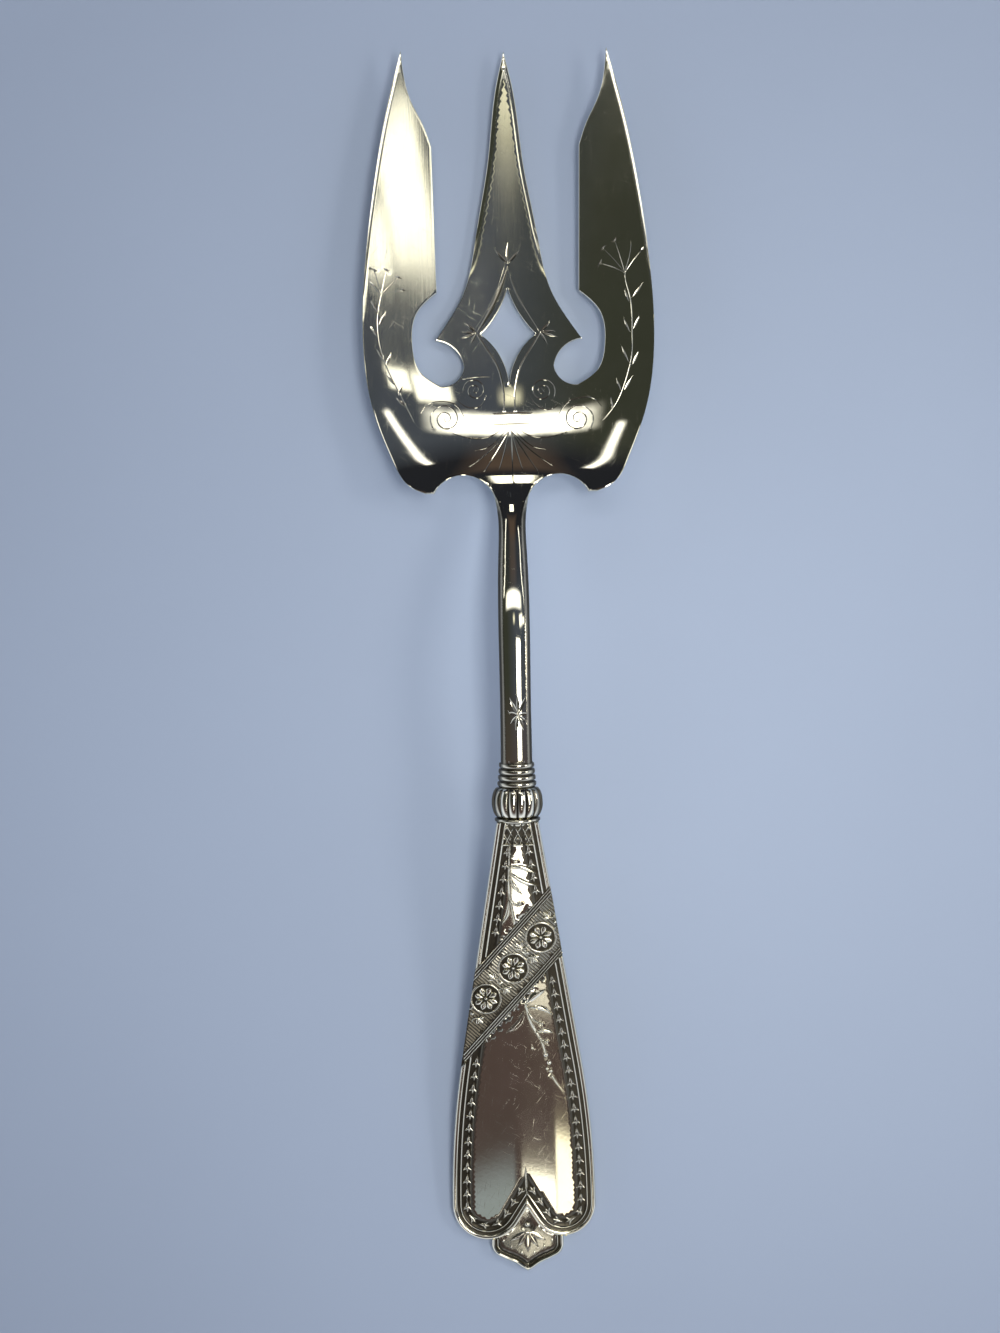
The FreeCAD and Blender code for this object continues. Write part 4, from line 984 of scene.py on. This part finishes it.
def build_handle(settings):
    """Carved handle with its rims, darts, sprigs, slanted band, medallions and palmette."""
    below, darts, sprigs, band, fan, beads = handle_features(random.Random(7))
    chains = {s: Nearest([side_chain(s, HANDLE_STEP, beyond=7.0)]) for s in (1, -1)}
    shield = np.concatenate([side_chain(1, HANDLE_STEP), side_chain(-1, HANDLE_STEP)[::-1][1:]])
    free_edge = Nearest([palmette_side(1, HANDLE_STEP), palmette_side(-1, HANDLE_STEP)])

    def rim_distance(p):
        t = np.zeros(len(p))
        for s in (1, -1):
            half = (p[:, 0] >= CUSP[0]) == (s > 0)
            if half.any():
                t[half] = chains[s].distance(p[half])
        return t

    lines = []
    for s in (1, -1):
        lines += rows_beside(side_chain(s, 0.3, beyond=7.0), -s, s, RIM_ROWS, rim_distance)
    for s in (1, -1):
        lines += rows_beside(palmette_side(s, 0.3), s, s, PALMETTE_ROWS, free_edge.distance)
    for b in (STRIP_HALF, OUTER_HALF + 0.05):
        for s in (1, -1):
            lines.append(spaced([on_band(BAND_START, s * b), on_band(BAND_END, s * b)], 0.4))
    for k in range(-76, 72):
        a = k * HATCH / 2
        lines.append(spaced([on_band(a, -STRIP_HALF), on_band(a, STRIP_HALF)], 0.45))
    for group, skirt in ((below, None), (darts, None), (sprigs, 0.2), (band, None), (fan, 0.2)):
        for item in group:
            if len(item.line) > 2:
                lines += item.rows(skirt)
    for centre, radius in beads:
        lines += bead_rows(centre, radius)

    def carve_shield(p, t):
        """Height inside the shield, with tarnish and painted shade, at points whose distance from its edge is
        t.
        """
        shade = np.zeros(len(p))
        h = rim_height(t)
        lattice = (p[:, 1] > LATTICE_FOOT - 0.4) & (t > 1.9)
        h[lattice] = 0.04
        over, beside = lifted(below, p, h)
        shade[lattice] = 0.8 * beside[lattice]
        under_collar = (p[:, 1] > LATTICE_FOOT - 0.5) & (t > 1.75)
        h[under_collar] = over[under_collar]
        a, b = band_places(p)
        on_strip = np.abs(b) < OUTER_HALF + 0.05
        free = (t > 1.86) & ~on_strip
        flat = h.copy()
        for group in (darts, sprigs):
            over, beside = lifted(group, p, h)
            h[free] = over[free]
            shade[free] = np.maximum(shade, 0.75 * beside)[free]
        # Painted shade on the step from the channel up to the panel
        shade[free & (t > 3.05) & (t < 3.62) & (h < flat + 0.02)] = 0.9
        ground = 0.02 + 0.09 * (1 - np.abs((a / HATCH) % 1.0 * 2 - 1))
        ground = np.where(np.abs(b) < STRIP_HALF, ground, 0.02)
        for place in MEDALLIONS:
            ground = np.where(np.linalg.norm(p - on_band(place, 0), axis=1) < 2.9, 0.0, ground)
        over, beside = lifted(band, p, np.where(on_strip, ground, h))
        h[on_strip] = over[on_strip]
        # Tarnish in the band's low places, painted darker towards its lower left as shade
        band_hollows_and_shade = on_strip & (h < 0.13)
        shade[band_hollows_and_shade] = np.clip(0.5 - a[band_hollows_and_shade] / 14, 0.4, 0.95)
        return h, shade

    def carve_palmette(p):
        """Height and tarnish on the palmette below the shield."""
        q = free_edge.distance(p)
        low = np.maximum(0.48 * half_round(q, 0.36, 0.36), 0.26 * half_round(q, 1.12, 0.14))
        low[q > 1.45] = 0.215
        low[np.linalg.norm(p - (CUSP[0], CUSP[1] - 3.15), axis=1) < 0.98] = 0.0
        over, beside = lifted(fan, p, low)
        ground = 0.45 * (q > 1.3) * (over <= low + 0.01)
        return over - 0.08, np.maximum(0.8 * beside, ground)

    def top(p, gap):
        inner = inside([shield], p)
        h, shade = np.zeros(len(p)), np.zeros(len(p))
        h[inner], shade[inner] = carve_shield(p[inner], rim_distance(p[inner]))
        h[~inner], shade[~inner] = carve_palmette(p[~inner])
        hollows = np.clip(1 - (h - 0.02) / 0.16, 0, 1)
        z = face_height(p, h * settings.relief_height) - rounded(gap, 0.12) * 0.8
        return z, np.maximum(hollows, shade)

    def bottom(p, gap):
        z = back_height(p)
        return z + rounded(gap, 0.35) * (z > 0)

    corners, faces, tarnish_and_shade = plate(
        [handle_outline()], (0.03, 0.1), lines, HANDLE_GRID, top, bottom, (0.1, 0.5, 0.9)
    )
    return made_object("fork_handle", corners, faces, tarnish_and_shade, 35)


def linear(text):
    """Linear colour with alpha from an sRGB hex value."""
    values = [int(text[i:i + 2], 16) / 255 for i in (1, 3, 5)]
    return tuple(v / 12.92 if v <= 0.04045 else ((v + 0.055) / 1.055) ** 2.4 for v in values) + (1.0,)


def add_node(tree, kind, inputs=None, output=0, **settings):
    """Adds a shader node and gives back one of its outputs.

    Each input is a value or the output of another node, and settings are the node's own.
    """
    node = tree.nodes.new(kind)
    for name, value in settings.items():
        setattr(node, name, value)
    for key, value in (inputs or {}).items():
        if isinstance(value, bpy.types.NodeSocket):
            tree.links.new(value, node.inputs[key])
        else:
            node.inputs[key].default_value = value
    return node.outputs[output] if node.outputs else None


def silver_plate():
    """Polished silver plate, worn and hand rubbed: bright with fine scratches, brown-black with tarnish in
    the hollows and with painted shade down some sides and edges.
    """
    material = bpy.data.materials.new("worn_silver_plate_with_painted_shade")
    material.use_nodes = True
    tree = material.node_tree
    tree.nodes.clear()
    place = add_node(tree, "ShaderNodeTexCoord", output="Object")
    tarnish_and_shade = add_node(tree, "ShaderNodeAttribute", output="Fac", attribute_name="tarnish_and_shade")
    # Rubbing marks run along the fork: about 0.12 mm across and 8 mm long
    rub_place = add_node(tree, "ShaderNodeMapping", {"Vector": place, "Scale": (8300.0, 120.0, 400.0)})
    rub = add_node(tree, "ShaderNodeTexNoise", {"Vector": rub_place, "Scale": 1.0, "Detail": 3.0})
    cloud = add_node(tree, "ShaderNodeTexNoise", {"Vector": place, "Scale": 160.0, "Detail": 4.0})
    speck = add_node(tree, "ShaderNodeTexNoise", {"Vector": place, "Scale": 1400.0, "Detail": 2.0})
    tones = {0: cloud, 6: linear("#f0ecdc"), 7: linear("#d9d5bd")}
    tint = add_node(tree, "ShaderNodeMix", tones, 2, data_type="RGBA")
    # Brown-black by the corners' attribute: tarnish in the hollows, and painted shade down the sides of shaft
    # and collar, on the channel step and towards the band's lower left
    spread = {"Value": tarnish_and_shade, "From Min": 0.1, "From Max": 0.95, "To Max": 0.93}
    tarnish_and_shade_share = add_node(tree, "ShaderNodeMapRange", spread)
    tones = {0: tarnish_and_shade_share, 6: tint, 7: linear("#2b241a")}
    colour = add_node(tree, "ShaderNodeMix", tones, 2, data_type="RGBA")
    # The marks grow fainter from the shaft's end towards the tines
    along = add_node(tree, "ShaderNodeSeparateXYZ", {0: place}, "Y")
    spread = {"Value": along, "From Min": 0.045, "From Max": 0.075, "To Min": 0.15}
    brushed = add_node(tree, "ShaderNodeMapRange", spread)
    marks = add_node(tree, "ShaderNodeMath", {0: rub, 1: brushed}, operation="MULTIPLY")
    spread = {"Value": marks, "From Min": 0.1, "From Max": 0.75, "To Min": 0.04, "To Max": 0.11}
    rough = add_node(tree, "ShaderNodeMapRange", spread)
    # Stray scratches of 0.13 mm by 4 mm, three ways
    for turn, scale in ((35, 7400.0), (-62, 8200.0), (8, 7800.0)):
        angle = {"Vector": place, "Angle": math.radians(turn)}
        turned = add_node(tree, "ShaderNodeVectorRotate", angle, rotation_type="Z_AXIS")
        lines = add_node(tree, "ShaderNodeMapping", {"Vector": turned, "Scale": (scale, 240.0, 240.0)})
        noise = add_node(tree, "ShaderNodeTexNoise", {"Vector": lines, "Scale": 1.0, "Detail": 1.0})
        spread = {"Value": noise, "From Min": 0.7, "From Max": 0.76, "To Max": 0.08}
        hair = add_node(tree, "ShaderNodeMapRange", spread)
        rough = add_node(tree, "ShaderNodeMath", {0: rough, 1: hair}, operation="ADD")
    rough = add_node(tree, "ShaderNodeMath", {0: tarnish_and_shade_share, 1: 0.35, 2: rough}, operation="MULTIPLY_ADD")
    bump = add_node(tree, "ShaderNodeBump", {"Height": marks, "Strength": 0.11, "Distance": 0.00002})
    bump = add_node(tree, "ShaderNodeBump",
                    {"Height": speck, "Normal": bump, "Strength": 0.02, "Distance": 0.00002})
    shader = add_node(tree, "ShaderNodeBsdfPrincipled",
                      {"Base Color": colour, "Roughness": rough, "Normal": bump, "Metallic": 1.0})
    add_node(tree, "ShaderNodeOutputMaterial", {"Surface": shader})
    return material


def painted_board(settings):
    """Smooth pale board, satin paint with a faint unevenness and a painted pool of light round a spot beside
    the fork.
    """
    material = bpy.data.materials.new("painted_board")
    material.use_nodes = True
    tree = material.node_tree
    shader = tree.nodes["Principled BSDF"]
    place = add_node(tree, "ShaderNodeTexCoord", output="Object")
    cloud = add_node(tree, "ShaderNodeTexNoise", {"Vector": place, "Scale": 9.0, "Detail": 3.0})
    # Painted pool of light: lighter round a spot beside the fork, darker away from it
    light_pool_distance = add_node(tree, "ShaderNodeVectorMath", {0: place, 1: (0.02, -0.02, 0.0)}, "Value",
                    operation="DISTANCE")
    reach = add_node(tree, "ShaderNodeMath", {0: cloud, 1: 0.05, 2: light_pool_distance}, operation="MULTIPLY_ADD")
    edge = add_node(tree, "ShaderNodeMapRange", {"Value": reach, "From Min": 0.05, "From Max": 0.2})
    tones = {0: edge, 6: (*settings.board_light, 1.0), 7: (*settings.board_dark, 1.0)}
    tint = add_node(tree, "ShaderNodeMix", tones, 2, data_type="RGBA")
    tree.links.new(tint, shader.inputs["Base Color"])
    shader.inputs["Roughness"].default_value = 0.55
    return material


def finished(piece):
    """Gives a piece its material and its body."""
    silver = bpy.data.materials.get("worn_silver_plate_with_painted_shade") or silver_plate()
    piece.data.materials.append(silver)
    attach(piece, "root")
    return piece


class ForkSettings(bpy.types.PropertyGroup):
    """Depths and colours of the fork."""

    engraving_depth: bpy.props.FloatProperty(
        name="Engraving depth", description="Depth of the bright cuts as a share of the usual one",
        default=1.0, min=0.1, max=2.0, subtype="FACTOR")
    relief_height: bpy.props.FloatProperty(
        name="Relief height", description="Height of the handle's carving as a share of the usual one",
        default=1.0, min=0.1, max=1.5, subtype="FACTOR")
    # Tones of the board's painted pool of light: the lit middle and the darker surround
    board_light: bpy.props.FloatVectorProperty(
        name="Board, light", description="Lighter tone of the board under the fork",
        default=linear("#c4d5f0")[:3], min=0.0, max=1.0, size=3, subtype="COLOR")
    board_dark: bpy.props.FloatVectorProperty(
        name="Board, dark", description="Darker tone of the board under the fork",
        default=linear("#aab9d2")[:3], min=0.0, max=1.0, size=3, subtype="COLOR")


class FORK_OT_head(bpy.types.Operator):
    """Build the head and shaft"""

    bl_idname = "fork.head"
    bl_label = "Head and Shaft"

    def execute(self, context):
        piece = finished(build_head(context.scene.fork_settings))
        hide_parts("fork")
        return {"FINISHED"}


class FORK_OT_collar(bpy.types.Operator):
    """Build the collar with its rings and knop"""

    bl_idname = "fork.collar"
    bl_label = "Collar"

    def execute(self, context):
        finished(build_collar())
        return {"FINISHED"}


class FORK_OT_handle(bpy.types.Operator):
    """Build the carved handle"""

    bl_idname = "fork.handle"
    bl_label = "Handle"

    def execute(self, context):
        finished(build_handle(context.scene.fork_settings))
        return {"FINISHED"}


# Lamps that shine straight down: name, (x from, x to, y from, y to, height) in metres, turn in
# degrees, widths of the soft edges along x and y in metres, brightness of their face, and colour
LAMPS = (
    ("window", (-0.355, 0.35, 0.250, 0.400, 0.6), 0, (0.15, 0.045), 2.9, "#fffefa"),
    ("window_left", (0.185, 0.345, 0.160, 0.250, 0.595), 10, (0.025, 0.025), 2.0, "#fffdf0"),
    ("window_edge", (0.335, 0.435, 0.186, 0.236, 0.59), 10, (0.01, 0.01), 2.0, "#fffdf0"),
    ("window_middle", (-0.05, 0.05, 0.160, 0.240, 0.59), 0, (0.045, 0.045), 1.3, "#fffbe0"),
    ("flank_left", (0.370, 0.430, 0.29, 0.66, 0.6), 28, (0.03, 0.03), 2.8, "#fffefa"),
    ("flank_right", (-0.395, -0.330, 0.35, 0.79, 0.6), -18, (0.03, 0.03), 2.6, "#fffefa"),
    ("side_lamp", (0.055, 0.225, -0.22, 0.12, 0.6), 0, (0.03, 0.03), 8.5, "#fffdf6"),
    ("key", (0.90, 1.35, -0.10, 0.35, 0.9), 0, (0.02, 0.02), 7.0, "#fff9ee"),
    ("neck_lamp", (-0.12, 0.12, 1.05, 1.90, 0.6), 0, (0.05, 0.05), 3.4, "#fffdf2"),
    ("front_low", (0.0, 0.19, -0.77, -0.66, 1.5), 0, (0.006, 0.006), 3.0, "#fffcf2"),
    ("front_right", (0.19, 0.33, -0.795, -0.66, 1.5), 0, (0.006, 0.006), 2.1, "#fff8e0"),
    ("front_left", (-0.30, -0.02, -0.785, -0.66, 1.5), 0, (0.03, 0.03), 0.7, "#9fb4c0"),
    ("front_middle", (0.05, 0.20, -0.878, -0.852, 1.5), 0, (0.01, 0.01), 1.2, "#fffcf2"),
    ("front_high", (-0.03, 0.17, -0.965, -0.90, 1.5), 0, (0.015, 0.015), 4.0, "#ffffff"),
)


def softbox(name, box, turn, soft, brightness, colour):
    """Lamp with a flat rectangular face looking down, fading at its edges as a softbox does."""
    x1, x2, y1, y2, height = box
    data = bpy.data.lights.new(name, "AREA")
    data.shape = "RECTANGLE"
    data.size, data.size_y = x2 - x1, y2 - y1
    data.energy = brightness * math.pi * data.size * data.size_y
    data.color = linear(colour)[:3]
    data.use_nodes = True
    tree = data.node_tree
    tree.nodes.clear()
    face = add_node(tree, "ShaderNodeNewGeometry", output="Parametric")
    fades = []
    for axis, size, width in (("X", data.size, soft[0]), ("Y", data.size_y, soft[1])):
        share = add_node(tree, "ShaderNodeSeparateXYZ", {0: face}, axis)
        off = add_node(tree, "ShaderNodeMath", {0: share, 1: 0.5}, operation="SUBTRACT")
        off = add_node(tree, "ShaderNodeMath", {0: off}, operation="ABSOLUTE")
        spread = {"Value": off, "From Min": 0.5, "From Max": 0.5 - min(0.5, width / size)}
        fades.append(add_node(tree, "ShaderNodeMapRange", spread, interpolation_type="SMOOTHSTEP"))
    power = add_node(tree, "ShaderNodeMath", {0: fades[0], 1: fades[1]}, operation="MULTIPLY")
    glow = add_node(tree, "ShaderNodeEmission", {"Strength": power})
    add_node(tree, "ShaderNodeOutputLight", {"Surface": glow})
    lamp = bpy.data.objects.new(name, data)
    bpy.context.scene.collection.objects.link(lamp)
    lamp.location = ((x1 + x2) / 2, (y1 + y2) / 2, height)
    lamp.rotation_euler = (0.0, 0.0, math.radians(turn))


def room(scene):
    """Room round the fork: dark overhead, brown towards the front, pale low down all round."""
    world = bpy.data.worlds.new("room")
    scene.world = world
    world.use_nodes = True
    tree = world.node_tree
    tree.nodes.clear()
    way = add_node(tree, "ShaderNodeTexCoord", output="Generated")
    x, y, z = (add_node(tree, "ShaderNodeSeparateXYZ", {0: way}, axis) for axis in "XYZ")

    front = add_node(tree, "ShaderNodeMapRange", {"Value": y, "From Min": -0.05, "From Max": -0.45})
    left = add_node(tree, "ShaderNodeMapRange", {"Value": x, "From Min": 0.1, "From Max": -0.4})
    rear = add_node(tree, "ShaderNodeMapRange", {"Value": y, "From Min": 0.5, "From Max": 0.66})
    tones = {0: left, 6: linear("#454b58"), 7: linear("#373a34")}
    over = add_node(tree, "ShaderNodeMix", tones, 2, data_type="RGBA")
    tones = {0: front, 6: over, 7: linear("#504443")}
    over = add_node(tree, "ShaderNodeMix", tones, 2, data_type="RGBA")
    # Behind, brown in the middle, dark beside it and far down
    aside = add_node(tree, "ShaderNodeMath", {0: x}, operation="ABSOLUTE")
    aside = add_node(tree, "ShaderNodeMapRange", {"Value": aside, "From Min": 0.1, "From Max": 0.26})
    far = add_node(tree, "ShaderNodeMapRange", {"Value": y, "From Min": 0.74, "From Max": 0.84})
    aside = add_node(tree, "ShaderNodeMath", {0: aside, 1: far}, operation="MAXIMUM")
    tones = {0: aside, 6: linear("#51453f"), 7: linear("#22242b")}
    behind = add_node(tree, "ShaderNodeMix", tones, 2, data_type="RGBA")
    over = add_node(tree, "ShaderNodeMix", {0: rear, 6: over, 7: behind}, 2, data_type="RGBA")
    # Pale low down, which begins higher towards the front and is left out behind
    low = add_node(tree, "ShaderNodeMapRange", {"Value": z, "From Min": 0.64, "From Max": 0.2})
    low = add_node(tree, "ShaderNodeMath", {0: low, 1: rear}, operation="SUBTRACT")
    low = add_node(tree, "ShaderNodeMath", {0: low, 1: 0.0}, operation="MAXIMUM")
    tilted = add_node(tree, "ShaderNodeMapRange", {"Value": z, "From Min": 0.72, "From Max": 0.45})
    tilted = add_node(tree, "ShaderNodeMath", {0: tilted, 1: front}, operation="MULTIPLY")
    low = add_node(tree, "ShaderNodeMath", {0: low, 1: tilted}, operation="MAXIMUM")
    tones = {0: low, 6: over, 7: linear("#e8efff")}
    colour = add_node(tree, "ShaderNodeMix", tones, 2, data_type="RGBA")
    glow = add_node(tree, "ShaderNodeBackground", {"Color": colour, "Strength": 1.15})
    add_node(tree, "ShaderNodeOutputWorld", {"Surface": glow})


# Board and camera, in metres and degrees
BOARD_HALF, BOARD_TOP = 1.5, -0.00002
CAMERA_AT, CAMERA_TURN = (-0.0027, -0.0008, 0.43), -1.04
SENSOR_MM, LENS_MM = 36.0, 61.6


class FORK_OT_stage(bpy.types.Operator):
    """Set up board, lamps, surroundings and camera"""

    bl_idname = "fork.stage"
    bl_label = "Stage"

    def execute(self, context):
        mesh = bpy.data.meshes.new("board")
        ways = ((-1, -1), (1, -1), (1, 1), (-1, 1))
        corners = [(x * BOARD_HALF, y * BOARD_HALF, BOARD_TOP) for x, y in ways]
        mesh.from_pydata(corners, [], [(0, 1, 2, 3)])
        board = bpy.data.objects.new("board", mesh)
        context.scene.collection.objects.link(board)
        board.data.materials.append(painted_board(context.scene.fork_settings))
        for lamp in LAMPS:
            softbox(*lamp)
        room(context.scene)
        data = bpy.data.cameras.new("camera")
        camera = bpy.data.objects.new("camera", data)
        context.scene.collection.objects.link(camera)
        data.sensor_width = SENSOR_MM
        data.lens = LENS_MM
        camera.location = CAMERA_AT
        camera.rotation_euler = (0.0, 0.0, math.radians(CAMERA_TURN))
        context.scene.camera = camera
        context.scene.view_settings.view_transform = "Standard"
        return {"FINISHED"}


class FORK_PT_panel(bpy.types.Panel):
    """Buttons that build the fork"""

    bl_label = "Fish Serving Fork"
    bl_idname = "FORK_PT_panel"
    bl_space_type = "VIEW_3D"
    bl_region_type = "UI"
    bl_category = "Fork"

    def draw(self, context):
        settings = context.scene.fork_settings
        for name in ("engraving_depth", "relief_height", "board_light", "board_dark"):
            self.layout.prop(settings, name)
        for name in ("fork.head", "fork.collar", "fork.handle", "fork.stage"):
            self.layout.operator(name)


CLASSES = (ForkSettings, FORK_OT_head, FORK_OT_collar, FORK_OT_handle, FORK_OT_stage, FORK_PT_panel)


def register():
    """Adds the classes and the fork's settings to Blender."""
    for item in CLASSES:
        bpy.utils.register_class(item)
    bpy.types.Scene.fork_settings = bpy.props.PointerProperty(type=ForkSettings)


def unregister():
    """Takes them out again."""
    del bpy.types.Scene.fork_settings
    for item in reversed(CLASSES):
        bpy.utils.unregister_class(item)


def main():
    """Builds the fork and its stage."""
    register()
    bpy.ops.fork.head()
    bpy.ops.fork.collar()
    bpy.ops.fork.handle()
    bpy.ops.fork.stage()


if __name__ == "__main__":
    main()
